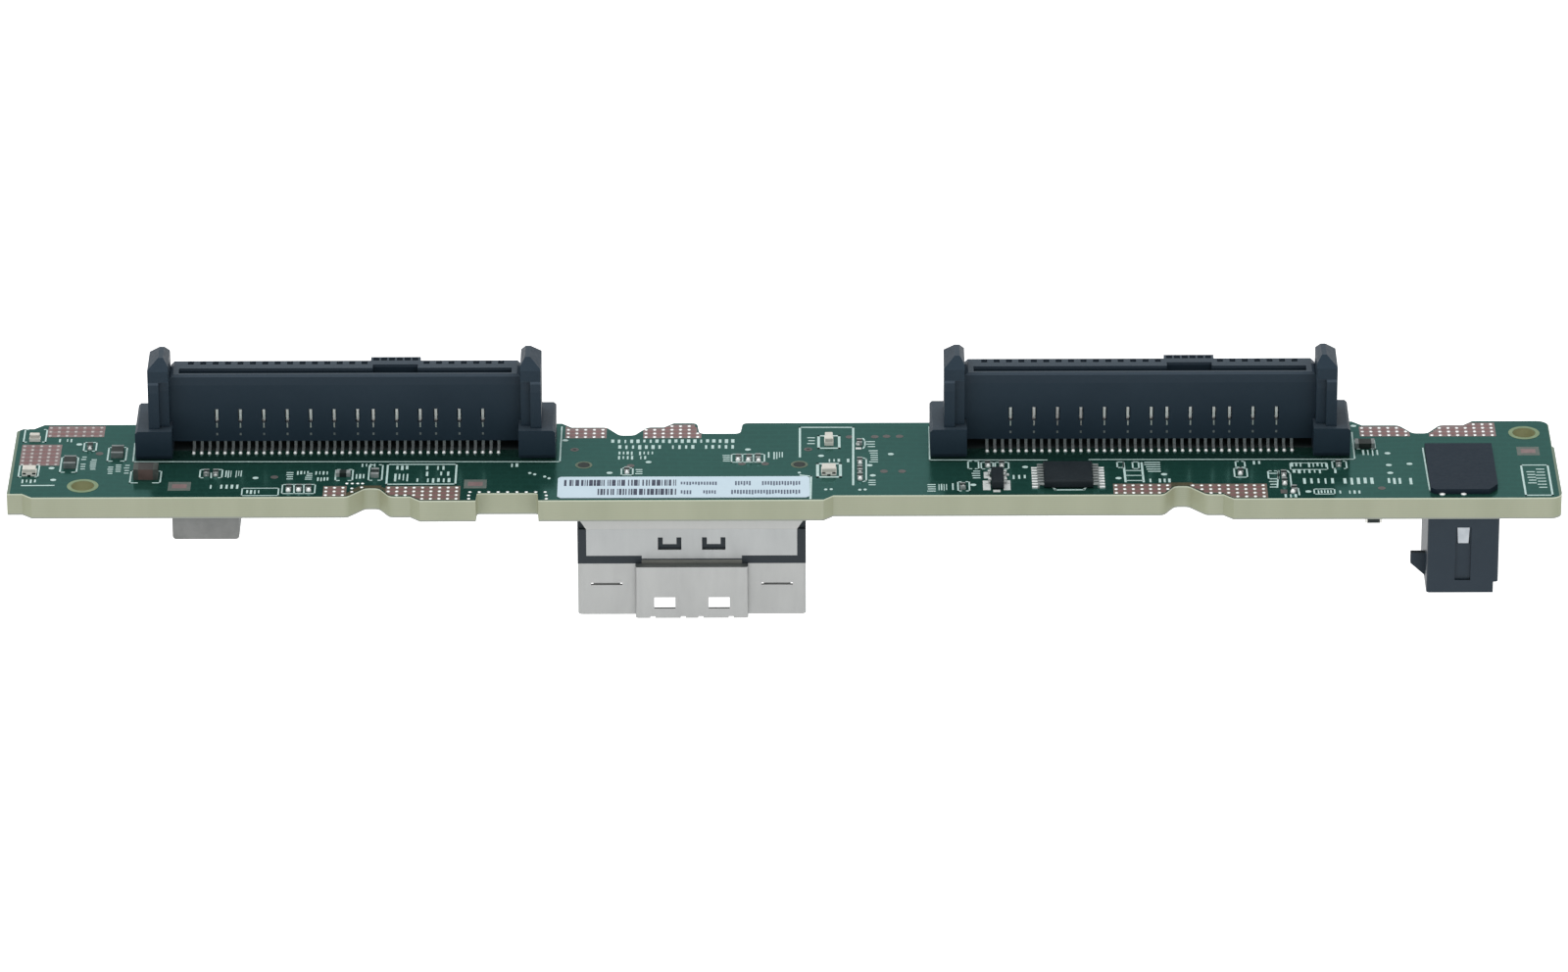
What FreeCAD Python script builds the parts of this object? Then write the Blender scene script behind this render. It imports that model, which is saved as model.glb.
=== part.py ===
import FreeCAD, Part
import math
import os

# Drive backplane board: a narrow printed circuit board that carries two upright drive sockets on its
# top face, and a shielded cable socket, a power header and a moulded inductor on its underside.
# Millimetres. X runs along the board, Y from its front edge to its back edge, Z up.
# The origin is the centre of the board's top face.

# Circuit board
board_width = 157.75
board_depth = 18.75
board_thickness = 2.36
board_left = -board_width / 2
board_right = board_width / 2
board_front = -board_depth / 2
board_back = board_depth / 2
board_underside = -board_thickness

# Routed edges: insets are measured inwards from the board's front or back edge
corner_radius = 1.2
scallop_radius = 0.8
rail_inset = 1.0
rail_ramp = 1.0
scallop_depth = 2.0
front_scallop_floor = 1.4
front_scallop_steep_run = 1.15
front_scallop_gentle_run = 1.75
back_scallop_floor = 1.5
back_scallop_run = 1.35
front_tab_width = 1.55
front_tab_inset = 1.9
front_notch_floor = 6.15
front_notch_run = 0.1
front_notch_depth = 1.75
front_notch_corner = 0.3
back_notch_floor = 4.2
back_notch_run = 0.25
back_notch_depth = 2.6
back_notch_corner = 0.6
back_tab_width = 1.75
back_chamfer = 0.6
side_jog = 0.2
side_jog_height = 12.2

# Plated holes
fixing_hole_radius = 1.175
left_hole_from_left = 7.6
left_hole_from_front = 3.77
right_hole_from_right = 2.85
right_hole_from_back = 2.97

# Drive sockets: lengths along X are measured from the socket's centre, depths from its front face
socket_pitch = 81.2
socket_front_from_edge = 12.6
socket_front = board_front + socket_front_from_edge
socket_body_half = 17.95
socket_thickness = 3.4
socket_height = 8.4
socket_stand_off = 0.95
socket_end_chamfer = 0.4
slot_half = 17.0
slot_front_wall = 0.35
slot_width = 1.2
slot_floor = 2.9
key_centre = 5.08
key_half = 2.55
key_slot_half = 2.3
key_jut = 0.9

# Guide posts and the feet under them
post_width = 2.1
post_ahead = 2.0
post_depth = 5.0
post_shoulder = 9.7
post_inner_shoulder = 10.0
post_tip = 10.7
post_tip_flat = 0.5
post_tip_lead_in = 1.1
post_step_width = 1.0
post_step_depth = 0.6
foot_half = 21.45
foot_inner_half = 17.7
foot_ahead = 2.65
foot_depth = 7.15
foot_height = 3.2
foot_edge = 0.25
foot_undercut_height = 0.45
foot_undercut_depth = 0.4

# Places of the sockets: the board's bare length is shared out between its two ends
left_end_share = 0.3752
bare_length = board_width - socket_pitch - 2 * foot_half
left_end_length = bare_length * left_end_share
right_end_length = bare_length - left_end_length
left_socket_x = board_left + left_end_length + foot_half
right_socket_x = left_socket_x + socket_pitch
between_x = (left_socket_x + right_socket_x) / 2
right_end_start = board_right - right_end_length

# Places of the routed hollows and steps: offsets from the left socket's centre
front_left_scallop_x = left_socket_x + 2.93
front_left_ramp_x = left_socket_x + 6.87
front_notch_x = left_socket_x + 16.72

# Offsets from the middle between the sockets
back_far_ramp_x = between_x - 17.63
back_left_scallop_x = between_x - 11.93
back_left_ramp_x = between_x - 7.13
back_notch_x = between_x - 2.38
front_right_ramp_x = between_x + 8.2

# Offsets from the right socket's centre, and shares of the right end's length
front_right_scallop_x = right_socket_x + 3.98
front_last_ramp_x = right_socket_x + 8.15
back_middle_ramp_x = right_end_start + right_end_length * 0.078
back_right_scallop_x = right_end_start + right_end_length * 0.357
back_right_ramp_x = right_end_start + right_end_length * 0.573

# Contacts of a drive socket
fine_pitch = 0.8
coarse_pitch = 1.27
front_contact_count = 40
contact_sheet = 0.14
contact_width = 0.3
channel_width = 0.46
front_channel_from_slot = 0.06
front_channel_depth = 0.36
contact_lip = 0.05
contact_tip_drop = 1.5
lead_foot_reach = 1.1
ground_steps = (3, 3, 3, 3, 3, 3, 2, 3, 3, 2, 3, 3)
first_ground_contact = 3
ground_window = (3.0, 4.5)
supply_contact_count = 15
key_contact_count = 6
signal_contact_count = 7
key_gap = 6.35
pocket_width = 0.6
pocket_front = 2.55
pocket_back_wall = 0.15
pocket_bridge = 7.3
rear_tip_drop = 0.3

# Board locks of a drive socket
lock_x = 19.6
lock_width = 1.4
lock_sheet = 0.3
lock_split = 0.4
lock_split_top = 0.2
lock_barb_half = 0.87
lock_barb_drop = 0.15
lock_shank_drop = 0.1
lock_tip_half = 0.52
lock_hole_radius = 0.95
lock_reach = 0.7
lock_pocket_top = 2.4
lock_clearance = 0.06

# Cable socket under the board, with its mouth facing down
cable_x = between_x - 5.23
cable_width = 23.3
cable_depth = 8.8
cable_centre_from_edge = 8.5
cable_front = board_front + cable_centre_from_edge - cable_depth / 2
cable_back = cable_front + cable_depth
cable_sheet = 0.3
cable_standoff = 0.35
shell_top = 6.68
shell_rim = 12.4
raised_half = 5.75
raised_jut = 0.95
window_width = 2.15
window_height = 1.25
window_spacing = 5.55
window_above_rim = 1.7
rib_slit_length = 3.2
rib_slit_height = 0.25
rib_slit_from_top = 2.3
rib_slit_centre = 8.7
rim_notch_width = 0.5
rim_notch_depth = 0.18
rim_notch_inner = 0.9
rim_notch_outer = 4.0
shell_corner = 0.5
raised_corner = 0.3
peg_half = 11.0
peg_width = 1.0
peg_hole_radius = 0.62
peg_bend_low = 1.4
peg_bend_high = 0.6
peg_top_gap = 0.25
peg_root = 0.5
peg_slot_clearance = 0.05
nose_half = 8.9
nose_thickness = 4.0
nose_reach = 8.0
card_slot_half = 7.7
card_slot_width = 1.7
cable_contact_count = 18
cable_contact_width = 0.34
cable_foot_reach = 1.6
cable_contact_drop = 1.2
cable_contact_gap = 0.02
cover_half = 10.75
cover_top = 2.83
cover_bottom = 5.8
cover_lip_half = 5.1
cover_lip = 0.34
cover_flange_rise = 1.25
cover_flange_run = 0.3
flange_seat_overrun = 1.1
tab_spacing = 4.5
tab_cut_width = 2.4
tab_cut_height = 1.4
tab_cut_bottom = 5.15
tab_tongue_width = 1.4
tab_tongue_gap = 0.65

# Power header under the board, with its mouth facing down
header_x = right_end_start + right_end_length * 0.54
header_width = 7.3
header_length = 9.65
header_front_from_edge = 3.45
header_front = board_front + header_front_from_edge
header_back = header_front + header_length
header_height = 9.9
header_wall = 0.85
header_floor = 2.6
header_corner = 0.35
header_mouth_step = 0.5
header_mouth_step_height = 1.2
header_groove_width = 1.6
header_groove_depth = 0.25
header_groove_top = 2.6
header_groove_bottom = 8.5
latch_width = 4.0
latch_jut = 1.2
latch_top = 6.5
latch_flat = 1.4
latch_foot = 9.4
header_pitch = 3.0
pin_side = 0.64
pin_tip = 8.6
pin_chamfer = 0.13
pin_tail = 0.3
pin_hole_clearance = 0.18
nail_width = 1.25
nail_sheet = 0.2
nail_clearance = 0.02
nail_tip_half = 0.53
nail_bottom = 4.45
nail_fork = 0.3
nail_fork_root = 0.15
nail_fork_depth = 0.9

# Insulating cover on the top face, above the header's pins
cover_x = header_x - 0.2
cover_plate_width = 6.85
cover_plate_length = 11.2
cover_plate_from_edge = 0.9
cover_plate_thickness = 0.55
cover_plate_skin = 0.15
cover_plate_rim = 0.7
cover_left_chamfer = 0.45
cover_right_chamfer = 0.9
cover_right_chamfer_depth = 1.26
cover_hollow_from_front = 1.4

# Moulded inductor under the board
inductor_x = left_socket_x - 14.0
inductor_width = 6.8
inductor_length = 7.1
inductor_height = 3.05
inductor_front_from_edge = 2.5
inductor_corner = 0.4
inductor_lead_width = 3.0
inductor_lead_sheet = 0.2
inductor_lead_height = 0.9

# Paper label on the top face
label_length = 25.6
label_x = between_x - 6.0
label_front_from_edge = 0.75
label_back_from_edge = 5.5
label_thickness = 0.08
label_corner = 0.5

# Chip parts: length along the part, width, height, and the length of each metal end
large_chip = (2.5, 1.7, 1.15)
large_chip_end = 0.5
medium_chip = (2.0, 1.25, 0.6)
medium_chip_end = 0.35
small_chip = (1.5, 0.8, 0.45)
small_chip_end = 0.4
fine_chip = (1.0, 0.55, 0.4)
fine_chip_end = 0.25
underside_chip = (1.75, 1.25, 1.35)
underside_chip_end = 0.25

# Status lamps: a base, and a lens of smaller plan on it
lamp_base_height = 0.35
lamp_height = 0.8
lamp_lens_share = 0.8
lamp_lens_chamfer = 0.12

# Sixteen-lead chip: body along X, along Y and up
control_body = (5.0, 5.2, 1.4)
control_lead_pitch = 0.65
control_leads_per_side = 8
control_lead_width = 0.26
control_lead_sheet = 0.16
control_lead_reach = 1.2
control_edge = 0.2
chip_stand_off = 0.12

# Four-lead transistor: body along X, along Y and up
transistor_size = (1.3, 2.9, 0.95)
transistor_lead_offset = 0.95
transistor_lead_width = 0.4
transistor_lead_sheet = 0.12
transistor_lead_reach = 0.55
transistor_edge = 0.15

# Share of a bent lead's reach that lies before its bend
lead_bend_share = 0.45

# Small chips near the left socket: offset along X from its centre, distance from the front edge,
# and True where the chip lies along Y
small_chip_offsets = (
    (-0.1, 6.2, False),
    (3.15, 6.3, True),
)
small_chip_places = [(left_socket_x + x, depth, along_y) for x, depth, along_y in small_chip_offsets]

# Fine chips, which all lie along Y: offset along X from the place they belong to, and distance
# from the front edge
fine_chips_at_left_socket = (
    (-14.03, 6.5),
    (-13.08, 6.5),
    (-5.49, 2.8),
    (-4.46, 2.8),
    (-3.48, 2.8),
)
fine_chips_between_sockets = (
    (-11.81, 6.8),
    (-0.45, 9.85),
    (0.62, 9.85),
    (1.55, 9.95),
    (11.94, 13.55),
    (11.94, 9.0),
    (11.94, 6.95),
    (11.94, 5.2),
)
fine_chips_at_right_socket = (
    (-18.25, 2.75),
    (-15.63, 8.15),
    (-14.19, 8.15),
    (10.08, 6.15),
    (14.46, 5.6),
    (14.46, 3.7),
    (15.35, 1.95),
    (20.16, 8.05),
)
fine_chip_places = [
    (anchor + offset, depth, True)
    for anchor, group in (
        (left_socket_x, fine_chips_at_left_socket),
        (between_x, fine_chips_between_sockets),
        (right_socket_x, fine_chips_at_right_socket),
    )
    for offset, depth in group
]

# Medium chips: three on the left end, and one in the gap between the right foot and the cover
chip_to_foot_share = 0.1135
chip_room = cover_x - cover_plate_width / 2 - right_end_start - medium_chip[0]
last_chip_x = right_end_start + medium_chip[0] / 2 + chip_room * chip_to_foot_share
medium_chip_places = (
    (board_left + left_end_length * 0.616, 13.4, False),
    (board_left + left_end_length * 0.473, 9.0, True),
    (board_left + left_end_length * 0.846, 11.5, True),
    (last_chip_x, 12.6, False),
)
large_chip_from_socket = 20.16
large_chip_place = (left_socket_x - large_chip_from_socket, 6.05, False)
underside_chip_from_header = 5.65
underside_chip_place = (header_x - header_width / 2 - underside_chip_from_header, 2.6, False)

# Places of the lamps: X, distance from the front edge, width and length
lamp_from_left_share = 0.1565
left_lamp_x = board_left + left_end_length * lamp_from_left_share
lamp_from_between = 8.8
middle_lamp_x = between_x + lamp_from_between
lamp_places = (
    (left_lamp_x, 15.0, 1.6, 0.9),
    (left_lamp_x, 7.2, 1.7, 1.3),
    (middle_lamp_x, 14.4, 1.9, 2.6),
    (middle_lamp_x, 7.2, 2.3, 2.4),
)

# Places of the chip and the transistor: X and distance from the front edge
control_from_socket = 7.5
control_place = (right_socket_x - control_from_socket, 5.15)
transistor_from_socket = 14.7
transistor_place = (right_socket_x - transistor_from_socket, 4.8)

# Reach of a cut past the face that it opens, overlap of solids that are fused,
# and the distance within which two faces count as level
reach = 1.0
lap = 0.1
level = 0.01


def at(x, y, z=0.0):
    return FreeCAD.Vector(x, y, z)


def block(x_range, y_range, z_range):
    """A box between three pairs of limits."""
    corner = at(x_range[0], y_range[0], z_range[0])
    size = [high - low for low, high in (x_range, y_range, z_range)]
    return Part.makeBox(size[0], size[1], size[2], corner)


def around(centre, size):
    """The limits of a span of this size about a centre."""
    return (centre - size / 2, centre + size / 2)


def prism(points, direction):
    """A polygon of 3-D points, pushed along a direction."""
    loop = Part.makePolygon(points + [points[0]])
    return Part.Face(loop).extrude(direction)


def profile_along_x(outline, x_range):
    """A polygon of (y, z) points between two X limits."""
    points = [at(x_range[0], y, z) for y, z in outline]
    return prism(points, at(x_range[1] - x_range[0], 0))


def profile_along_y(outline, y_range):
    """A polygon of (x, z) points between two Y limits."""
    points = [at(x, y_range[0], z) for x, z in outline]
    return prism(points, at(0, y_range[1] - y_range[0]))


def rounded_loop(corners, z):
    """A closed wire through (x, y, radius) corners, each rounded by a tangent arc."""
    count = len(corners)
    edges = []
    last_end = None
    first_start = None
    for index in range(count):
        x, y, radius = corners[index]
        here = at(x, y, z)
        before = at(corners[index - 1][0], corners[index - 1][1], z)
        after = at(corners[(index + 1) % count][0], corners[(index + 1) % count][1], z)
        inward = (before - here).normalize()
        onward = (after - here).normalize()
        half_angle = inward.getAngle(onward) / 2
        start = here
        end = here
        if radius > 0:
            reach = radius / math.tan(half_angle)
            start = here + inward * reach
            end = here + onward * reach
        if last_end is not None:
            edges.append(Part.LineSegment(last_end, start).toShape())
        else:
            first_start = start
        if radius > 0:
            bisector = (inward + onward).normalize()
            middle = here + bisector * (radius / math.sin(half_angle) - radius)
            edges.append(Part.Arc(start, middle, end).toShape())
        last_end = end
    edges.append(Part.LineSegment(last_end, first_start).toShape())
    return Part.Wire(edges)


def rounded_plate(corners, z_range):
    """A plate whose outline has rounded corners."""
    face = Part.Face(rounded_loop(corners, z_range[0]))
    return face.extrude(at(0, 0, z_range[1] - z_range[0]))


def rounded_block(x_range, y_range, z_range, radius):
    """An upright block with its four vertical edges rounded."""
    corners = [
        (x_range[0], y_range[0], radius),
        (x_range[1], y_range[0], radius),
        (x_range[1], y_range[1], radius),
        (x_range[0], y_range[1], radius),
    ]
    return rounded_plate(corners, z_range)


def upright_hole(x, y, radius, z_range):
    return Part.makeCylinder(radius, z_range[1] - z_range[0], at(x, y, z_range[0]))


def strip(path, sheet):
    """The outline of bent sheet metal of even thickness that follows a path of (u, v) points."""
    left = []
    right = []
    last = len(path) - 1
    for index, (u, v) in enumerate(path):
        start = path[max(index - 1, 0)]
        end = path[min(index + 1, last)]
        directions = []
        if index > 0:
            directions.append((u - start[0], v - start[1]))
        if index < last:
            directions.append((end[0] - u, end[1] - v))
        units = [(du / math.hypot(du, dv), dv / math.hypot(du, dv)) for du, dv in directions]
        mean_u = sum(unit[0] for unit in units) / len(units)
        mean_v = sum(unit[1] for unit in units) / len(units)
        shrink = mean_u**2 + mean_v**2
        offset_u = -mean_v / shrink * sheet / 2
        offset_v = mean_u / shrink * sheet / 2
        left.append((u + offset_u, v + offset_v))
        right.append((u - offset_u, v - offset_v))
    return left + right[::-1]


def cut_all(solid, tools):
    return solid.cut(Part.makeCompound(tools))


def edges_at_height(solid, z):
    """The edges of a solid that lie level at this height."""
    found = []
    for edge in solid.Edges:
        box = edge.BoundBox
        if abs(box.ZMin - z) < level and abs(box.ZMax - z) < level:
            found.append(edge)
    return found


def save(name, shape):
    """Writes one node. A group of separate solids stays one compound."""
    if not shape.isValid():
        raise ValueError(name + " is not a valid shape")
    shape.exportStep("parts/" + name + ".step")


def ramp(x_from, x_to, inset_from, inset_to):
    """Two corners of an edge that steps from one inset to another."""
    return [(x_from, inset_from, 0), (x_to, inset_to, 0)]


def scallop(centre, floor, runs, inset, depth, mouth_radius, floor_radius):
    """Four corners of a routed hollow. Its two runs slope down to a floor of this length."""
    deep = inset + depth
    low, high = around(centre, floor)
    return [
        (low - runs[0], inset, mouth_radius),
        (low, deep, floor_radius),
        (high, deep, floor_radius),
        (high + runs[1], inset, mouth_radius),
    ]


def front_edge_corners():
    """The front edge from left to right, as (x, inset, radius)."""
    corners = [(board_left, front_tab_inset, 0)]
    tab_end = board_left + front_tab_width
    corners += ramp(tab_end, tab_end + rail_ramp, front_tab_inset, rail_inset)
    corners += scallop(
        front_left_scallop_x,
        front_scallop_floor,
        (front_scallop_gentle_run, front_scallop_steep_run),
        rail_inset,
        scallop_depth,
        scallop_radius,
        scallop_radius,
    )
    corners += ramp(front_left_ramp_x, front_left_ramp_x + rail_ramp, rail_inset, 0)
    corners += scallop(
        front_notch_x,
        front_notch_floor,
        (front_notch_run, front_notch_run),
        0,
        front_notch_depth,
        0,
        front_notch_corner,
    )
    corners += ramp(front_right_ramp_x, front_right_ramp_x + rail_ramp, 0, rail_inset)
    corners += scallop(
        front_right_scallop_x,
        front_scallop_floor,
        (front_scallop_steep_run, front_scallop_gentle_run),
        rail_inset,
        scallop_depth,
        scallop_radius,
        scallop_radius,
    )
    corners += ramp(front_last_ramp_x, front_last_ramp_x + rail_ramp, rail_inset, 0)
    corners.append((board_right, 0, corner_radius))
    return corners


def back_edge_corners():
    """The back edge from left to right, as (x, inset, radius)."""
    tab_end = board_left + back_tab_width
    corners = [
        (board_left, rail_inset + back_chamfer, 0),
        (board_left + back_chamfer, rail_inset, 0),
    ]
    corners += ramp(tab_end, tab_end + rail_ramp, rail_inset, 0)
    corners += ramp(back_far_ramp_x - rail_ramp, back_far_ramp_x, 0, rail_inset)
    corners += scallop(
        back_left_scallop_x,
        back_scallop_floor,
        (back_scallop_run, back_scallop_run),
        rail_inset,
        scallop_depth,
        scallop_radius,
        scallop_radius,
    )
    corners += ramp(back_left_ramp_x - rail_ramp, back_left_ramp_x, rail_inset, 0)
    corners += scallop(
        back_notch_x,
        back_notch_floor,
        (back_notch_run, back_notch_run),
        0,
        back_notch_depth,
        back_notch_corner,
        back_notch_corner,
    )
    corners += ramp(back_middle_ramp_x - rail_ramp, back_middle_ramp_x, 0, rail_inset)
    corners += scallop(
        back_right_scallop_x,
        back_scallop_floor,
        (back_scallop_run, back_scallop_run),
        rail_inset,
        scallop_depth,
        scallop_radius,
        scallop_radius,
    )
    corners += ramp(back_right_ramp_x, back_right_ramp_x + rail_ramp, rail_inset, 0)
    corners.append((board_right - side_jog, 0, corner_radius))
    return corners


def pin_places():
    """The four pins of the power header."""
    middle_y = (header_front + header_back) / 2
    half = header_pitch / 2
    return [(header_x + dx, middle_y + dy) for dx in (-half, half) for dy in (-half, half)]


def lock_places():
    """The two board locks of each drive socket."""
    middle_y = socket_front - foot_ahead + foot_depth / 2
    return [(x + side * lock_x, middle_y) for x in (left_socket_x, right_socket_x) for side in (-1, 1)]


def peg_places():
    """The two pegs of the cable socket's shell."""
    middle_y = (cable_front + cable_back) / 2
    return [(cable_x + side * peg_half, middle_y) for side in (-1, 1)]


def circuit_board():
    outline = [(x, board_front + inset, radius) for x, inset, radius in front_edge_corners()]
    jog_y = board_front + side_jog_height
    outline += [(board_right, jog_y, 0), (board_right - side_jog, jog_y + side_jog, 0)]
    outline += [(x, board_back - inset, radius) for x, inset, radius in reversed(back_edge_corners())]
    board = rounded_plate(outline, (board_underside, 0))
    through = (board_underside - reach, reach)
    fixing = [
        (board_left + left_hole_from_left, board_front + left_hole_from_front),
        (board_right - right_hole_from_right, board_back - right_hole_from_back),
    ]
    holes = [upright_hole(x, y, fixing_hole_radius, through) for x, y in fixing]
    holes += [upright_hole(x, y, lock_hole_radius, through) for x, y in lock_places()]
    holes += [upright_hole(x, y, peg_hole_radius, through) for x, y in peg_places()]
    pin_hole = pin_side / math.sqrt(2) + pin_hole_clearance
    holes += [upright_hole(x, y, pin_hole, through) for x, y in pin_places()]
    return cut_all(board, holes)


def contact_row(first, pitch, count):
    return [first + pitch * step for step in range(count)]


def front_contact_places():
    """Front row of a drive socket, along X from its centre."""
    return contact_row(-fine_pitch * (front_contact_count - 1) / 2, fine_pitch, front_contact_count)


def supply_places():
    last = key_centre - key_gap / 2
    return contact_row(last - coarse_pitch * (supply_contact_count - 1), coarse_pitch, supply_contact_count)


def key_places():
    return contact_row(key_centre - fine_pitch * (key_contact_count - 1) / 2, fine_pitch, key_contact_count)


def signal_places():
    return contact_row(key_centre + key_gap / 2, coarse_pitch, signal_contact_count)


def ground_places():
    """The front contacts that show through windows in the front wall."""
    index = first_ground_contact
    places = front_contact_places()
    found = [places[index]]
    for step in ground_steps:
        index += step
        found.append(places[index])
    return found


def guide_post(side):
    """One upright post on its foot, at the low X end (side -1) or the high X end (side 1)."""
    inner = socket_body_half
    outer = inner + post_width
    tip_outer = inner + post_tip_flat * 2
    tip_inner = inner + post_tip_flat
    outline = [
        (inner, socket_stand_off),
        (outer, socket_stand_off),
        (outer, post_shoulder),
        (tip_outer, post_tip),
        (tip_inner, post_tip),
        (inner, post_inner_shoulder),
    ]
    y_low = socket_front - post_ahead
    post = profile_along_y([(side * x, z) for x, z in outline], (y_low, y_low + post_depth))
    lead_in = [
        (y_low - reach, post_tip + reach),
        (y_low - reach, post_tip - post_tip_lead_in),
        (y_low, post_tip - post_tip_lead_in),
        (y_low + post_tip_lead_in, post_tip),
        (y_low + post_tip_lead_in, post_tip + reach),
    ]
    middle = 2 * y_low + post_depth
    lead_out = [(middle - y, z) for y, z in lead_in]
    span = (-outer - reach, outer + reach)
    step_x = sorted((side * (inner - reach), side * (inner + post_step_width)))
    step = block(step_x, (y_low - reach, y_low + post_step_depth), (foot_height, socket_height))
    return cut_all(post, [profile_along_x(lead_in, span), profile_along_x(lead_out, span), step])


def foot(side):
    """The solid foot that stands on the board under a guide post."""
    y_low = socket_front - foot_ahead
    x_range = sorted((side * foot_inner_half, side * foot_half))
    base = block(x_range, (y_low, y_low + foot_depth), (0, foot_height))
    outer_edges = []
    for edge in base.Edges:
        box = edge.BoundBox
        on_outer_side = abs(abs(box.Center.x) - foot_half) < level
        on_top = abs(box.Center.z - foot_height) < level
        if on_outer_side and on_top:
            outer_edges.append(edge)
    undercut = block(
        (x_range[0] - reach, x_range[1] + reach),
        (y_low - reach, y_low + foot_undercut_depth),
        (-reach, foot_undercut_height),
    )
    return base.makeChamfer(foot_edge, outer_edges).cut(undercut)


def pocket_tool(x, shift):
    """A rear contact's channel: open to the slot low down, a closed pocket near the top."""
    slot_back = slot_front_wall + slot_width + shift
    back = socket_thickness + shift - pocket_back_wall
    outline = [
        (slot_back - lap, socket_stand_off - reach),
        (back, socket_stand_off - reach),
        (back, socket_height + reach),
        (pocket_front + shift, socket_height + reach),
        (pocket_front + shift, pocket_bridge),
        (slot_back - lap, pocket_bridge),
    ]
    return profile_along_x([(socket_front + y, z) for y, z in outline], around(x, pocket_width))


def drive_socket_housing():
    """The housing about its own centre, later moved along X to its place."""
    y_range = (socket_front, socket_front + socket_thickness)
    body = block((-socket_body_half, socket_body_half), y_range, (socket_stand_off, socket_height))
    slot_y = (socket_front + slot_front_wall, socket_front + slot_front_wall + slot_width)
    key = block(
        around(key_centre, key_half * 2),
        (slot_y[0], y_range[1] + key_jut),
        (socket_stand_off, socket_height),
    )
    solid = body.fuse([key] + [maker(side) for maker in (guide_post, foot) for side in (-1, 1)])
    slot_z = (slot_floor, socket_height + reach)
    tools = [
        block((-slot_half, slot_half), slot_y, slot_z),
        block(around(key_centre, key_slot_half * 2), (slot_y[0], slot_y[1] + key_jut), slot_z),
    ]
    for side in (-1, 1):
        edge_x = side * socket_body_half
        corner = [
            (edge_x - side * socket_end_chamfer, socket_height + level),
            (edge_x, socket_height + level),
            (edge_x, socket_height - socket_end_chamfer),
        ]
        tools.append(profile_along_y(corner, (y_range[0] - reach, y_range[1] + reach)))
    channel_low = slot_y[0] + front_channel_from_slot
    channel_y = (channel_low, channel_low + front_channel_depth)
    for x in front_contact_places():
        channel_z = (socket_stand_off - reach, slot_floor + lap)
        tools.append(block(around(x, channel_width), channel_y, channel_z))
    for x in ground_places():
        tools.append(block(around(x, channel_width), (socket_front - reach, channel_low), ground_window))
    for x in supply_places() + signal_places():
        tools.append(pocket_tool(x, 0))
    for x in key_places():
        tools.append(pocket_tool(x, key_jut))
    lock_y = socket_front - foot_ahead + foot_depth / 2
    for side in (-1, 1):
        tools.append(
            block(
                around(side * lock_x, lock_width + 2 * lock_clearance),
                around(lock_y, lock_sheet + 2 * lock_clearance),
                (-reach, lock_pocket_top + lock_clearance),
            )
        )
    return cut_all(solid, tools).removeSplitter()


def drive_socket_front_contacts():
    """Bent strips: foot on the board, riser behind the front wall, tip leaning into the slot."""
    wall = slot_front_wall + front_channel_from_slot + contact_lip + contact_sheet / 2
    foot_z = contact_sheet / 2
    path = [(-lead_foot_reach, foot_z), (wall, foot_z), (wall, socket_height - contact_tip_drop)]
    outline = [(socket_front + y, z) for y, z in strip(path, contact_sheet)]
    return [profile_along_x(outline, around(x, contact_width)) for x in front_contact_places()]


def drive_socket_rear_contacts():
    contacts = []
    for places, shift in ((supply_places() + signal_places(), 0), (key_places(), key_jut)):
        wall = socket_thickness + shift - pocket_back_wall - contact_lip - contact_sheet / 2
        foot_z = contact_sheet / 2
        slot_back = slot_front_wall + slot_width + shift
        path = [
            (socket_thickness + shift + lead_foot_reach, foot_z),
            (wall, foot_z),
            (slot_back - contact_lip, pocket_bridge - rear_tip_drop),
        ]
        outline = [(socket_front + y, z) for y, z in strip(path, contact_sheet)]
        contacts += [profile_along_x(outline, around(x, contact_width)) for x in places]
    return contacts


def board_lock(x):
    """A forked blade from the pocket in a foot down through the board."""
    y_range = around(socket_front - foot_ahead + foot_depth / 2, lock_sheet)
    half = lock_width / 2
    tip = board_underside - lock_reach
    right_side = [
        (half, lock_pocket_top),
        (half, board_underside - lock_shank_drop),
        (lock_barb_half, board_underside - lock_barb_drop),
        (lock_tip_half, tip),
        (lock_split / 2, tip),
        (lock_split / 2, -lock_split_top),
    ]
    outline = right_side + [(-u, z) for u, z in reversed(right_side)]
    return profile_along_y([(x + u, z) for u, z in outline], y_range)


def below(depth):
    """Height of a point at this depth under the board's underside."""
    return board_underside - depth


def raised_front_corners(inset, corner, middle_corner):
    """The plan of the cable socket's sleeve, its middle standing forward, moved in by an inset."""
    half = cable_width / 2 - inset
    middle = raised_half - inset
    front = cable_front + inset
    back = cable_back - inset
    return [
        (cable_x - half, front, corner),
        (cable_x - middle, front, 0),
        (cable_x - middle, front - raised_jut, middle_corner),
        (cable_x + middle, front - raised_jut, middle_corner),
        (cable_x + middle, front, 0),
        (cable_x + half, front, corner),
        (cable_x + half, back, corner),
        (cable_x - half, back, corner),
    ]


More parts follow.
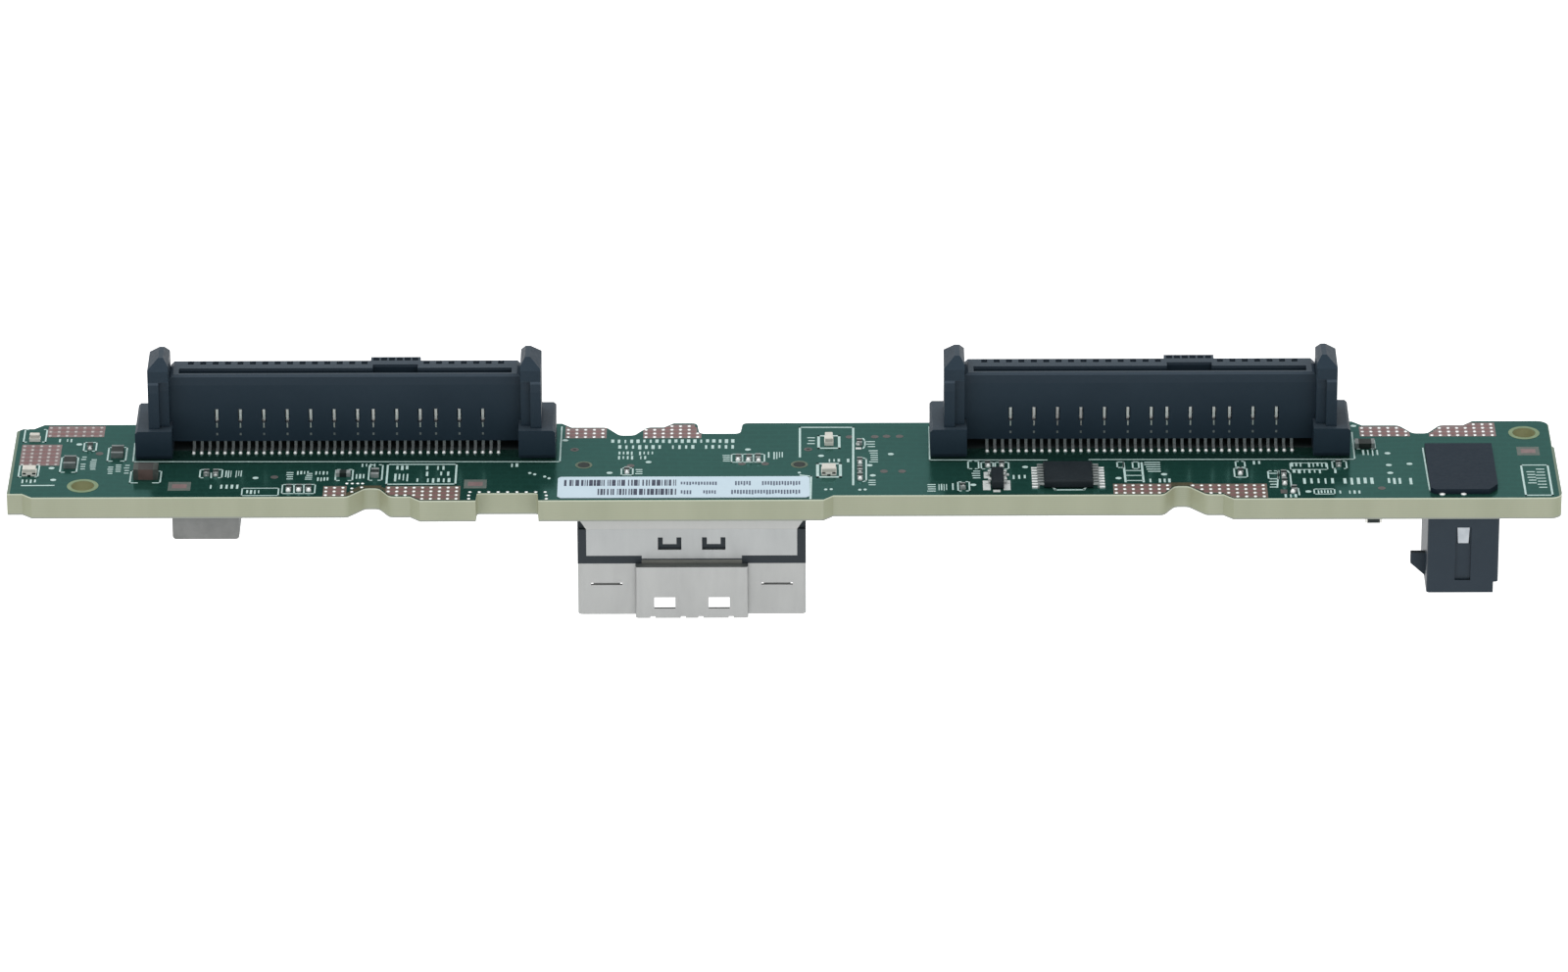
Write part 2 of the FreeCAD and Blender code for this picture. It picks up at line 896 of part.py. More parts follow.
def sleeve_openings(z_range):
    """Cuts for the latch windows, the slits beside them and the notches in the rim."""
    window_low = z_range[0] + window_above_rim - window_height / 2
    raised_front = cable_front - raised_jut
    tools = []
    for side in (-1, 1):
        window_x = around(cable_x + side * window_spacing / 2, window_width)
        window_y = (raised_front - reach, raised_front + cable_sheet + lap)
        tools.append(block(window_x, window_y, (window_low, window_low + window_height)))
        slit_x = around(cable_x + side * rib_slit_centre, rib_slit_length)
        slit_z = around(z_range[1] - rib_slit_from_top, rib_slit_height)
        tools.append(block(slit_x, (cable_front - reach, cable_front + cable_sheet + lap), slit_z))
    for offset in (-rim_notch_outer, -rim_notch_inner, rim_notch_inner, rim_notch_outer):
        notch_x = around(cable_x + offset, rim_notch_width)
        notch_y = (raised_front - reach, cable_front)
        tools.append(block(notch_x, notch_y, (z_range[0] - reach, z_range[0] + rim_notch_depth)))
    return tools


def peg_path(side, peg_x):
    """The middle line of a peg, from the sleeve's end wall up into the board, as (x, z) points."""
    wall_x = cable_x + side * (cable_width - cable_sheet) / 2
    return [
        (wall_x, below(shell_top + peg_root)),
        (wall_x, below(peg_bend_low)),
        (peg_x, below(peg_bend_high)),
        (peg_x, -peg_top_gap),
    ]


def cable_socket_shell():
    """A drawn metal sleeve, open below, with two latch windows and a peg at each end."""
    z_range = (below(shell_rim), below(shell_top))
    outer = rounded_plate(raised_front_corners(0, shell_corner, raised_corner), z_range)
    hollow = (z_range[0] - reach, z_range[1] + reach)
    inner = rounded_plate(raised_front_corners(cable_sheet, 0, 0), hollow)
    ledge = block(
        around(cable_x, 2 * (raised_half - cable_sheet)),
        (cable_front - raised_jut + cable_sheet / 2, cable_front + cable_sheet),
        (z_range[1] - cable_sheet, z_range[1]),
    )
    shell = cut_all(outer.cut(inner).fuse(ledge), sleeve_openings(z_range))
    pegs = []
    for side, (peg_x, peg_y) in zip((-1, 1), peg_places()):
        outline = strip(peg_path(side, peg_x), cable_sheet)
        pegs.append(profile_along_y(outline, around(peg_y, peg_width)))
    return shell.fuse(pegs).removeSplitter()


def cable_socket_housing():
    """The moulding inside the sleeve: a body under the board and a nose with the card slot."""
    half = cable_width / 2
    top = below(cable_standoff)
    bottom = below(shell_top)
    middle_y = (cable_front + cable_back) / 2
    body = block((cable_x - half, cable_x + half), (cable_front, cable_back), (bottom, top))
    nose = block(
        around(cable_x, 2 * nose_half),
        around(middle_y, nose_thickness),
        (below(nose_reach), bottom + lap),
    )
    card_slot = block(
        around(cable_x, 2 * card_slot_half),
        around(middle_y, card_slot_width),
        (below(nose_reach) - reach, top + reach),
    )
    plate_back = cable_front + cable_sheet
    plate_seat = block(
        around(cable_x, 2 * cover_half),
        (cable_front - reach, plate_back),
        (below(cover_bottom), top + reach),
    )
    lip_seat = block(
        around(cable_x, 2 * cover_lip_half),
        (cable_front - reach, plate_back),
        (below(cover_bottom + cover_lip), below(cover_bottom) + lap),
    )
    flange_rise = cover_flange_rise * flange_seat_overrun
    flange_run = cover_flange_run * flange_seat_overrun
    flange_outline = [
        (cable_front - reach, below(cover_top)),
        (plate_back, below(cover_top)),
        (plate_back + flange_run, below(cover_top - flange_rise)),
        (plate_back + flange_run, top + reach),
        (cable_front - reach, top + reach),
    ]
    flange_seat = profile_along_x(flange_outline, (cable_x - half - reach, cable_x + half + reach))
    tools = [card_slot, plate_seat, lip_seat, flange_seat]
    for side, (peg_x, peg_y) in zip((-1, 1), peg_places()):
        outer_x = cable_x + side * (half + reach)
        path = peg_path(side, peg_x)
        sides = strip(path, cable_sheet)
        low_x_side = sides[: len(path)]
        high_x_side = sides[len(path) :][::-1]
        inner_side = low_x_side if side > 0 else high_x_side
        outline = [(outer_x, path[0][1])] + inner_side + [(outer_x, path[-1][1])]
        slot_y = around(peg_y, peg_width + 2 * peg_slot_clearance)
        tools.append(profile_along_y(outline, slot_y))
    return cut_all(body.fuse(nose), tools).removeSplitter()


def cable_socket_cover_plate():
    """The front plate over the moulding, bent back at its top, with two punched tabs."""
    half = cable_width / 2
    y_range = (cable_front, cable_front + cable_sheet)
    plate = block(around(cable_x, 2 * cover_half), y_range, (below(cover_bottom), below(cover_top)))
    lip = block(
        around(cable_x, 2 * cover_lip_half),
        y_range,
        (below(cover_bottom + cover_lip), below(cover_bottom)),
    )
    bend = [
        (cable_x - cover_half, cable_front, below(cover_top)),
        (cable_x + cover_half, cable_front, below(cover_top)),
        (cable_x + half, cable_front + cover_flange_run, below(cover_top - cover_flange_rise)),
        (cable_x - half, cable_front + cover_flange_run, below(cover_top - cover_flange_rise)),
    ]
    flange = prism([at(x, y, z) for x, y, z in bend], at(0, cable_sheet, 0))
    plate = plate.fuse([lip, flange])
    tools = []
    for side in (-1, 1):
        centre = cable_x + side * tab_spacing / 2
        opening = block(
            around(centre, tab_cut_width),
            (y_range[0] - reach, y_range[1] + reach),
            (below(tab_cut_bottom), below(tab_cut_bottom - tab_cut_height)),
        )
        tongue = block(
            around(centre, tab_tongue_width),
            (y_range[0] - 2 * reach, y_range[1] + 2 * reach),
            (below(tab_cut_bottom - tab_tongue_gap), below(tab_cut_bottom - tab_cut_height - reach)),
        )
        tools.append(opening.cut(tongue))
    return cut_all(plate, tools).removeSplitter()


def cable_socket_contacts(side):
    """One row of contacts on a wall of the card slot: side -1 is the front row."""
    middle_y = (cable_front + cable_back) / 2
    wall = middle_y + side * (card_slot_width / 2 - contact_sheet / 2 - cable_contact_gap)
    foot_z = board_underside - contact_sheet / 2
    path = [
        (middle_y + side * (card_slot_width / 2 + cable_foot_reach), foot_z),
        (wall, foot_z),
        (wall, below(nose_reach - cable_contact_drop)),
    ]
    outline = strip(path, contact_sheet)
    first = cable_x - fine_pitch * (cable_contact_count - 1) / 2
    places = contact_row(first, fine_pitch, cable_contact_count)
    return [profile_along_x(outline, around(x, cable_contact_width)) for x in places]


def nail_slot(y_wall, inward):
    """Cuts for the groove and the nail slot in one end wall of the header."""
    groove_back = y_wall + inward * header_groove_depth
    nail_back = groove_back + inward * (nail_sheet + nail_clearance)
    groove = block(
        around(header_x, header_groove_width),
        sorted((y_wall - inward * reach, groove_back)),
        (below(header_groove_bottom), below(header_groove_top)),
    )
    slot = block(
        around(header_x, nail_width + 2 * nail_clearance),
        sorted((groove_back, nail_back)),
        (below(nail_bottom + nail_clearance), board_underside + reach),
    )
    return [groove, slot]


def header_housing():
    """A four-way upright header: walls around a cavity, a latch ramp and grooved end walls."""
    x_range = around(header_x, header_width)
    y_range = (header_front, header_back)
    mouth = below(header_height)
    body = rounded_block(x_range, y_range, (mouth, board_underside), header_corner)
    middle_y = (header_front + header_back) / 2
    ramp_outline = [
        (x_range[0] + lap, below(latch_top)),
        (x_range[0] - latch_jut, below(latch_top)),
        (x_range[0] - latch_jut, below(latch_top + latch_flat)),
        (x_range[0] + lap, below(latch_foot)),
    ]
    body = body.fuse(profile_along_y(ramp_outline, around(middle_y, latch_width)))
    wall = header_wall
    tools = [
        block(
            (x_range[0] + wall, x_range[1] - wall),
            (y_range[0] + wall, y_range[1] - wall),
            (mouth - reach, below(header_floor)),
        ),
        block(
            (x_range[1] - header_mouth_step, x_range[1] + reach),
            (y_range[0] - reach, y_range[1] + reach),
            (mouth - reach, mouth + header_mouth_step_height),
        ),
    ]
    tools += nail_slot(y_range[0], 1)
    tools += nail_slot(y_range[1], -1)
    for x, y in pin_places():
        pin_z = (mouth - reach, board_underside + reach)
        tools.append(block(around(x, pin_side), around(y, pin_side), pin_z))
    return cut_all(body, tools).removeSplitter()


def header_pins():
    pins = []
    for x, y in pin_places():
        pin = block(around(x, pin_side), around(y, pin_side), (below(pin_tip), pin_tail))
        pins.append(pin.makeChamfer(pin_chamfer, edges_at_height(pin, below(pin_tip))))
    return pins


def header_nails():
    """A forked solder nail behind each end wall's bridge."""
    nails = []
    for y_wall, inward in ((header_front, 1), (header_back, -1)):
        y_range = sorted(
            (y_wall + inward * header_groove_depth, y_wall + inward * (header_groove_depth + nail_sheet))
        )
        right_side = [
            (nail_tip_half, below(nail_bottom)),
            (nail_width / 2, below(header_groove_top)),
            (nail_width / 2, board_underside),
            (nail_fork, board_underside),
            (nail_fork_root, below(nail_fork_depth)),
        ]
        outline = right_side + [(-u, z) for u, z in reversed(right_side)]
        nails.append(profile_along_y([(header_x + u, z) for u, z in outline], y_range))
    return nails


def solder_cover():
    """A shallow moulded tray, open below, over the pin ends."""
    x_low, x_high = around(cover_x, cover_plate_width)
    y_low = board_front + cover_plate_from_edge
    y_high = y_low + cover_plate_length
    corners = [
        (x_low + cover_left_chamfer, y_low, 0),
        (x_high - cover_right_chamfer, y_low, 0),
        (x_high, y_low + cover_right_chamfer_depth, 0),
        (x_high, y_high, 0),
        (x_low, y_high, 0),
        (x_low, y_low + cover_left_chamfer, 0),
    ]
    tray = rounded_plate(corners, (0, cover_plate_thickness))
    hollow = block(
        (x_low + cover_plate_rim, x_high - cover_plate_rim),
        (y_low + cover_hollow_from_front, y_high - cover_plate_rim),
        (-reach, cover_plate_thickness - cover_plate_skin),
    )
    return tray.cut(hollow)


def inductor_body():
    x_range = around(inductor_x, inductor_width)
    y_low = board_front + inductor_front_from_edge
    solid = block(x_range, (y_low, y_low + inductor_length), (below(inductor_height), board_underside))
    lower_sides = [
        edge
        for edge in edges_at_height(solid, below(inductor_height))
        if edge.BoundBox.YLength > inductor_corner
    ]
    return solid.makeFillet(inductor_corner, lower_sides)


def inductor_terminals():
    middle_y = board_front + inductor_front_from_edge + inductor_length / 2
    half = inductor_width / 2
    terminals = []
    for side in (-1, 1):
        x_range = sorted((inductor_x + side * half, inductor_x + side * (half + inductor_lead_sheet)))
        y_range = around(middle_y, inductor_lead_width)
        terminals.append(block(x_range, y_range, (below(inductor_lead_height), board_underside)))
    return terminals


def paper_label():
    y_low = board_front + label_front_from_edge
    y_high = board_front + label_back_from_edge
    return rounded_block(around(label_x, label_length), (y_low, y_high), (0, label_thickness), label_corner)


def chip(place, size, end, z_side):
    """A chip part: body and its two metal ends. z_side 1 sits on the top face, -1 under the board."""
    x, from_edge, along_y = place
    y = board_front + from_edge
    length, width, height = size
    base = 0 if z_side > 0 else board_underside
    z_range = sorted((base, base + z_side * height))
    body_length = length - 2 * end
    if along_y:
        body = block(around(x, width), around(y, body_length), z_range)
        ends = [
            block(around(x, width), around(y + side * (length - end) / 2, end), z_range) for side in (-1, 1)
        ]
    else:
        body = block(around(x, body_length), around(y, width), z_range)
        ends = [
            block(around(x + side * (length - end) / 2, end), around(y, width), z_range) for side in (-1, 1)
        ]
    return body, ends


def chip_group(places, size, end):
    """Chips of one size on the top face."""
    bodies = []
    ends = []
    for place in places:
        body, pair = chip(place, size, end, 1)
        bodies.append(body)
        ends += pair
    return bodies, ends


def lamp(place):
    """A status lamp: a white base and a clear lens of smaller plan on it."""
    x, from_edge, width, length = place
    y = board_front + from_edge
    base = block(around(x, width), around(y, length), (0, lamp_base_height))
    lens_x = around(x, width * lamp_lens_share)
    lens_y = around(y, length * lamp_lens_share)
    lens = block(lens_x, lens_y, (lamp_base_height, lamp_height))
    return base, lens.makeChamfer(lamp_lens_chamfer, edges_at_height(lens, lamp_height))


def moulded_body(x, y, size, edge):
    """A chip's body, clear of the board by the stand-off, with its top edges bevelled."""
    body = block(around(x, size[0]), around(y, size[1]), (chip_stand_off, size[2]))
    return body.makeChamfer(edge, edges_at_height(body, size[2]))


def bent_lead(root_x, side, run, root_z, sheet, y_range):
    """A lead that leaves a body's side, bends down and ends in a foot on the board."""
    bend_x = root_x + side * run * lead_bend_share
    path = [(root_x, root_z), (bend_x, root_z), (bend_x, sheet / 2), (root_x + side * run, sheet / 2)]
    return profile_along_y(strip(path, sheet), y_range)


def control_chip():
    x, from_edge = control_place
    y = board_front + from_edge
    width, length, height = control_body
    body = moulded_body(x, y, control_body, control_edge)
    first = y - control_lead_pitch * (control_leads_per_side - 1) / 2
    leads = []
    for lead_y in contact_row(first, control_lead_pitch, control_leads_per_side):
        y_range = around(lead_y, control_lead_width)
        for side in (-1, 1):
            root_x = x + side * width / 2
            leads.append(
                bent_lead(root_x, side, control_lead_reach, height / 2, control_lead_sheet, y_range)
            )
    return body, leads


def transistor():
    x, from_edge = transistor_place
    y = board_front + from_edge
    width, length, height = transistor_size
    body = moulded_body(x, y, transistor_size, transistor_edge)
    leads = []
    for side in (-1, 1):
        root_x = x + side * width / 2
        for shift in (-transistor_lead_offset, transistor_lead_offset):
            y_range = around(y + shift, transistor_lead_width)
            leads.append(
                bent_lead(root_x, side, transistor_lead_reach, height / 2, transistor_lead_sheet, y_range)
            )
    return body, leads


def drive_socket_nodes(prefix, x):
    shift = at(x, 0)

    def moved(solids):
        return Part.makeCompound([solid.translated(shift) for solid in solids])

    save(prefix + "_drive_socket_housing", drive_socket_housing().translated(shift))
    save(prefix + "_drive_socket_front_contacts", moved(drive_socket_front_contacts()))
    save(prefix + "_drive_socket_rear_contacts", moved(drive_socket_rear_contacts()))
    save(prefix + "_drive_socket_board_locks", moved([board_lock(-lock_x), board_lock(lock_x)]))


def build():
    os.makedirs("parts", exist_ok=True)
    save("circuit_board", circuit_board())
    drive_socket_nodes("left", left_socket_x)
    drive_socket_nodes("right", right_socket_x)
    save("cable_socket_shell", cable_socket_shell())
    save("cable_socket_housing", cable_socket_housing())
    save("cable_socket_cover_plate", cable_socket_cover_plate())
    save("cable_socket_front_contacts", Part.makeCompound(cable_socket_contacts(-1)))
    save("cable_socket_rear_contacts", Part.makeCompound(cable_socket_contacts(1)))
    save("power_header_housing", header_housing())
    save("power_header_pins", Part.makeCompound(header_pins()))
    save("power_header_solder_nails", Part.makeCompound(header_nails()))
    save("pin_end_cover", solder_cover())
    save("inductor_body", inductor_body())
    save("inductor_terminals", Part.makeCompound(inductor_terminals()))
    save("paper_label", paper_label())
    bodies, ends = chip_group(small_chip_places, small_chip, small_chip_end)
    fine_bodies, fine_ends = chip_group(fine_chip_places, fine_chip, fine_chip_end)
    save("small_chip_bodies", Part.makeCompound(bodies + fine_bodies))
    save("small_chip_ends", Part.makeCompound(ends + fine_ends))
    bodies, ends = chip_group(medium_chip_places, medium_chip, medium_chip_end)
    save("medium_chip_bodies", Part.makeCompound(bodies))
    save("medium_chip_ends", Part.makeCompound(ends))
    body, ends = chip(large_chip_place, large_chip, large_chip_end, 1)
    save("large_ceramic_capacitor", body)
    save("large_ceramic_capacitor_ends", Part.makeCompound(ends))
    body, ends = chip(underside_chip_place, underside_chip, underside_chip_end, -1)
    save("underside_capacitor", body)
    save("underside_capacitor_ends", Part.makeCompound(ends))
    bases, lenses = zip(*[lamp(place) for place in lamp_places])
    save("status_lamp_bases", Part.makeCompound(list(bases)))
    save("status_lamp_lenses", Part.makeCompound(list(lenses)))
    body, leads = control_chip()
    save("control_chip", body)
    save("control_chip_leads", Part.makeCompound(leads))
    body, leads = transistor()
    save("transistor_body", body)
    save("transistor_leads", Part.makeCompound(leads))


build()
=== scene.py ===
import math
import random

import bpy
from mathutils import Matrix, Vector
from mathutils.bvhtree import BVHTree


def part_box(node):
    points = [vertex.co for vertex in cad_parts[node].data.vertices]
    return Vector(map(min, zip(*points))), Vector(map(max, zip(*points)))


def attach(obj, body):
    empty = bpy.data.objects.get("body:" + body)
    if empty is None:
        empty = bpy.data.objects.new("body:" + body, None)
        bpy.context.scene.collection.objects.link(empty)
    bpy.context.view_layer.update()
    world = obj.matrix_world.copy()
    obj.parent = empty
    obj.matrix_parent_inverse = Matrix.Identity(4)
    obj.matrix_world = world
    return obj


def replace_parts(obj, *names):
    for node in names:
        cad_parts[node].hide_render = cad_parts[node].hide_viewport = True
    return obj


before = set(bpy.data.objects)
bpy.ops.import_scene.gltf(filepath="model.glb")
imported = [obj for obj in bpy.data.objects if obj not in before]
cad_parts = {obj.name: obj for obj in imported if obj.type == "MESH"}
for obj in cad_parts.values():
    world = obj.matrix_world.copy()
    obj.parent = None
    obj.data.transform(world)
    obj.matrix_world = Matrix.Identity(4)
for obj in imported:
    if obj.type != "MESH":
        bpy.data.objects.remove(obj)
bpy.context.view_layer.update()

MM = 0.001
random.seed(7)

# The camera: a long lens, aimed a little behind the board's front edge
ELEVATION = math.radians(24.84)
LENS = 225.0
SENSOR = 36.0
DISTANCE = 995.5
ROLL = 0.0028
PICTURE_WIDTH, PICTURE_HEIGHT = 1600, 992
FOCAL_PIXELS = LENS / SENSOR * PICTURE_WIDTH
FLOOR_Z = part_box("cable_socket_shell")[0].z

# Driving places and sizes of the board, in mm
BOARD_FRONT = -9.375
BOARD_UNDERSIDE = -2.36
BOARD_HALF_LENGTH = 78.875
AIM_Y = BOARD_FRONT + 3.3
HOLES = ((-71.275, BOARD_FRONT + 3.77), (76.025, BOARD_FRONT + 15.78))
HOLE_RADIUS = 1.175
SOCKETS = (-44.8, 36.4)
SOCKET_FRONT = BOARD_FRONT + 12.6
CONTACT_PITCH = 0.8


# Places
def spot(px, py, z=0.0):
    """The point at height z, in mm, that the camera sees at a pixel of its picture."""
    dx, dy = px - PICTURE_WIDTH / 2, py - PICTURE_HEIGHT / 2
    u = dx * math.cos(ROLL) - dy * math.sin(ROLL)
    v = -(dy * math.cos(ROLL) + dx * math.sin(ROLL)) / FOCAL_PIXELS
    s, c = math.sin(ELEVATION), math.cos(ELEVATION)
    y = (v * (DISTANCE - z * s) - z * c) / (s - v * c)
    return u * (DISTANCE + y * c - z * s) / FOCAL_PIXELS, y + AIM_Y


def pixel_box(x0, y0, x1, y1, z=0.0):
    """The front left and back right corners at height z, from the pixels of two opposite corners."""
    return spot(x0, y1, z), spot(x1, y0, z)


board_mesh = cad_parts["circuit_board"].data
board_tree = BVHTree.FromPolygons(
    [v.co for v in board_mesh.vertices], [tuple(p.vertices) for p in board_mesh.polygons]
)


def on_board(x, y, margin=0.0):
    """True where the board's top face lies under the point and all round it."""
    for dx, dy in ((0, 0), (margin, 0), (-margin, 0), (0, margin), (0, -margin)):
        hit = board_tree.ray_cast(Vector(((x + dx) * MM, (y + dy) * MM, MM)), Vector((0, 0, -1)), 1.5 * MM)
        if hit[0] is None:
            return False
    return True


# Meshes
def oval(x, y, rx, ry, sides):
    """The corners of an oval with flat sides."""
    turns = [2 * math.pi * k / sides for k in range(sides)]
    return [(x + rx * math.cos(turn), y + ry * math.sin(turn)) for turn in turns]


def placed(name, mesh):
    """A piece on the part's one body."""
    piece = bpy.data.objects.new(name, mesh)
    bpy.context.scene.collection.objects.link(piece)
    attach(piece, "root")
    return piece


class Builder:
    """Collects faces in mm for one piece."""

    def __init__(self):
        self.points = []
        self.faces = []

    def prism(self, outline, low, high):
        """An outline of (x, y) points, given thickness."""
        n = len(outline)
        start = len(self.points)
        self.points += [(x, y, low) for x, y in outline] + [(x, y, high) for x, y in outline]
        self.faces.append([start + n + i for i in range(n)])
        self.faces.append([start + i for i in reversed(range(n))])
        self.band(start, start + n, n)

    def band(self, low, high, sides):
        """Faces between two rounds of points, each named by its first point."""
        for k in range(sides):
            m = (k + 1) % sides
            self.faces.append([low + k, low + m, high + m, high + k])

    def plate(self, x0, y0, x1, y1, low, high):
        self.prism([(x0, y0), (x1, y0), (x1, y1), (x0, y1)], low, high)

    def centred(self, x, y, half_x, half_y, low, high):
        """A plate round a middle point."""
        self.plate(x - half_x, y - half_y, x + half_x, y + half_y, low, high)

    def bevelled(self, x0, y0, x1, y1, low, high, edge):
        """A block with bevelled top edges."""
        start = len(self.points)
        for inset, z in ((0.0, low), (0.0, high - edge), (edge, high)):
            a, b, c, d = x0 + inset, y0 + inset, x1 - inset, y1 - inset
            self.points += [(a, b, z), (c, b, z), (c, d, z), (a, d, z)]
        self.band(start, start + 4, 4)
        self.band(start + 4, start + 8, 4)
        self.faces.append([start + 3, start + 2, start + 1, start])
        self.faces.append([start + 8, start + 9, start + 10, start + 11])

    def ribbon(self, a, b, width, low, high):
        """A straight stroke with square ends."""
        dx, dy = b[0] - a[0], b[1] - a[1]
        length = math.hypot(dx, dy) or 1.0
        ux, uy = dx / length * width / 2, dy / length * width / 2
        corners = [
            (a[0] - ux + uy, a[1] - uy - ux), (b[0] + ux + uy, b[1] + uy - ux),
            (b[0] + ux - uy, b[1] + uy + ux), (a[0] - ux - uy, a[1] - uy + ux),
        ]
        self.prism(corners, low, high)

    def path(self, points, width, low, high, closed=False):
        ends = points[1:] + ([points[0]] if closed else [])
        for a, b in zip(points, ends):
            self.ribbon(a, b, width, low, high)

    def disc(self, x, y, rx, ry, low, high, sides=14):
        self.prism(oval(x, y, rx, ry, sides), low, high)

    def ring(self, x, y, inner, outer, low, high, sides=48):
        start = len(self.points)
        for z in (low, high):
            for r in (inner, outer):
                self.points += [(*point, z) for point in oval(x, y, r, r, sides)]
        a, b, c, d = (start + i * sides for i in range(4))
        for first, second in ((d, c), (b, d), (c, a), (a, b)):
            self.band(first, second, sides)

    def dome(self, x, y, z, rx, ry, height, sides=10, rings=3, down=False):
        """Half of a flattened ball that stands on a face, or hangs below one."""
        sign = -1 if down else 1
        start = len(self.points)
        for ring in range(rings):
            angle = math.pi / 2 * ring / rings
            level = z + sign * height * math.sin(angle)
            outline = oval(x, y, rx * math.cos(angle), ry * math.cos(angle), sides)
            self.points += [(*point, level) for point in outline]
        top = len(self.points)
        self.points.append((x, y, z + sign * height))
        for ring in range(start, start + (rings - 1) * sides, sides):
            self.band(*((ring + sides, ring) if down else (ring, ring + sides)), sides)
        last = start + (rings - 1) * sides
        for k in range(sides):
            face = [last + k, last + (k + 1) % sides, top]
            self.faces.append(face[::sign])
        self.faces.append(list(range(start, start + sides))[::-sign])

    def make(self, name, material, slot, smooth=False):
        mesh = bpy.data.meshes.new(name)
        mesh.from_pydata([(x * MM, y * MM, z * MM) for x, y, z in self.points], [], self.faces)
        mesh.materials.append(material)
        for polygon in mesh.polygons:
            polygon.use_smooth = smooth
        mesh.update()
        return placed(name, mesh)

    def stand_in(self, name, material, slot):
        """A piece that is shown in place of a node."""
        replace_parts(self.make(name + "_shown", material, slot), name)


# Materials
def new_material(name, values):
    """A material with values set on its shader, its tree of nodes, and the shader."""
    material = bpy.data.materials.new(name)
    material.use_nodes = True
    shader = material.node_tree.nodes["Principled BSDF"]
    for key, value in values.items():
        shader.inputs[key].default_value = value
    return material, material.node_tree, shader


def node(tree, kind, **values):
    made = tree.nodes.new(kind)
    for key, value in values.items():
        if key in made.inputs:
            made.inputs[key].default_value = value
        else:
            setattr(made, key, value)
    return made


def texture(tree, kind, place, **values):
    """A node that reads a place."""
    made = node(tree, kind, **values)
    tree.links.new(place, made.inputs["Vector"])
    return made


def place_of(tree):
    """The place in the part's own frame."""
    return node(tree, "ShaderNodeTexCoord").outputs["Object"]


def axes(tree, vector):
    """The x, y and z of a vector."""
    split = node(tree, "ShaderNodeSeparateXYZ")
    tree.links.new(vector, split.inputs[0])
    return split.outputs


def normal_of(tree):
    """The x, y and z of the way a face looks."""
    return axes(tree, node(tree, "ShaderNodeNewGeometry").outputs["True Normal"])


def maths(tree, operation, a, b=None):
    made = node(tree, "ShaderNodeMath", operation=operation)
    for index, value in enumerate((a, b)):
        if value is None:
            continue
        if isinstance(value, (int, float)):
            made.inputs[index].default_value = value
        else:
            tree.links.new(value, made.inputs[index])
    return made.outputs[0]


def mixed(tree, share, a, b):
    """A colour between two others. Each may be a colour or a socket."""
    made = node(tree, "ShaderNodeMix", data_type="RGBA")
    for index, value in ((6, a), (7, b)):
        if isinstance(value, tuple):
            made.inputs[index].default_value = (*value, 1)
        else:
            tree.links.new(value, made.inputs[index])
    tree.links.new(share, made.inputs[0])
    return made.outputs[2]



def raise_relief(tree, shader, height, strength, depth):
    relief = node(tree, "ShaderNodeBump", Strength=strength, Distance=depth)
    tree.links.new(height, relief.inputs["Height"])
    tree.links.new(relief.outputs["Normal"], shader.inputs["Normal"])


def times(tree, first, *others):
    """The product of sockets and numbers."""
    for other in others:
        first = maths(tree, "MULTIPLY", first, other)
    return first


def beyond(tree, value, limit):
    """One where a place in mm lies past a limit, and nought elsewhere."""
    return maths(tree, "GREATER_THAN", value, limit * MM)


def between(tree, value, low, high):
    """One where a place in mm lies between two others, and nought elsewhere."""
    return times(tree, beyond(tree, value, low), maths(tree, "LESS_THAN", value, high * MM))


def beside_sockets(tree, x):
    """How far a place lies from the middle of the nearer drive socket."""
    sides = [maths(tree, "SUBTRACT", x, centre * MM) for centre in SOCKETS]
    return maths(tree, "MINIMUM", *[maths(tree, "ABSOLUTE", side) for side in sides])


# How far apart a material's two roughnesses and the shares of its two tints lie
ROUGH_SPREAD = 0.12
TINT_SPREAD = 0.36


def surface(name, base, second, rough, metallic=0.0, specular=0.5, grain=2600.0, patch=1500.0, bump=0.15,
            bump_depth=0.00002, coat=0.0, stretch=(1, 1, 1)):
    """A procedural material: two tints in patches, uneven roughness and a fine bump."""
    values = {"Metallic": metallic, "Specular IOR Level": specular, "Coat Weight": coat}
    material, tree, shader = new_material(name, values | {"Coat Roughness": 0.08})
    mapping = texture(tree, "ShaderNodeMapping", place_of(tree), Scale=stretch)
    place = mapping.outputs["Vector"]
    patches = texture(tree, "ShaderNodeTexNoise", place, Scale=patch, Detail=5.0, Roughness=0.6)
    fine = texture(tree, "ShaderNodeTexNoise", place, Scale=grain, Detail=4.0, Roughness=0.65)
    ramp = node(tree, "ShaderNodeValToRGB")
    for element, side, tint in zip(ramp.color_ramp.elements, (-0.5, 0.5), (base, second)):
        element.position = 0.5 + side * TINT_SPREAD
        element.color = (*tint, 1)
    tree.links.new(patches.outputs["Fac"], ramp.inputs["Fac"])
    tree.links.new(ramp.outputs["Color"], shader.inputs["Base Color"])
    limits = {"To Min": rough - ROUGH_SPREAD / 2, "To Max": rough + ROUGH_SPREAD / 2}
    spread = node(tree, "ShaderNodeMapRange", **{"From Min": 0.3, "From Max": 0.7}, **limits)
    tree.links.new(fine.outputs["Fac"], spread.inputs["Value"])
    tree.links.new(spread.outputs["Result"], shader.inputs["Roughness"])
    raise_relief(tree, shader, fine.outputs["Fac"], bump, bump_depth)
    return material


def tinted_where(material, share_of, tint):
    """Gives a material another tint where share_of(tree) is one."""
    tree = material.node_tree
    base = tree.nodes["Principled BSDF"].inputs["Base Color"]
    plain = base.links[0].from_socket
    tree.links.new(mixed(tree, share_of(tree), plain, tint), base)


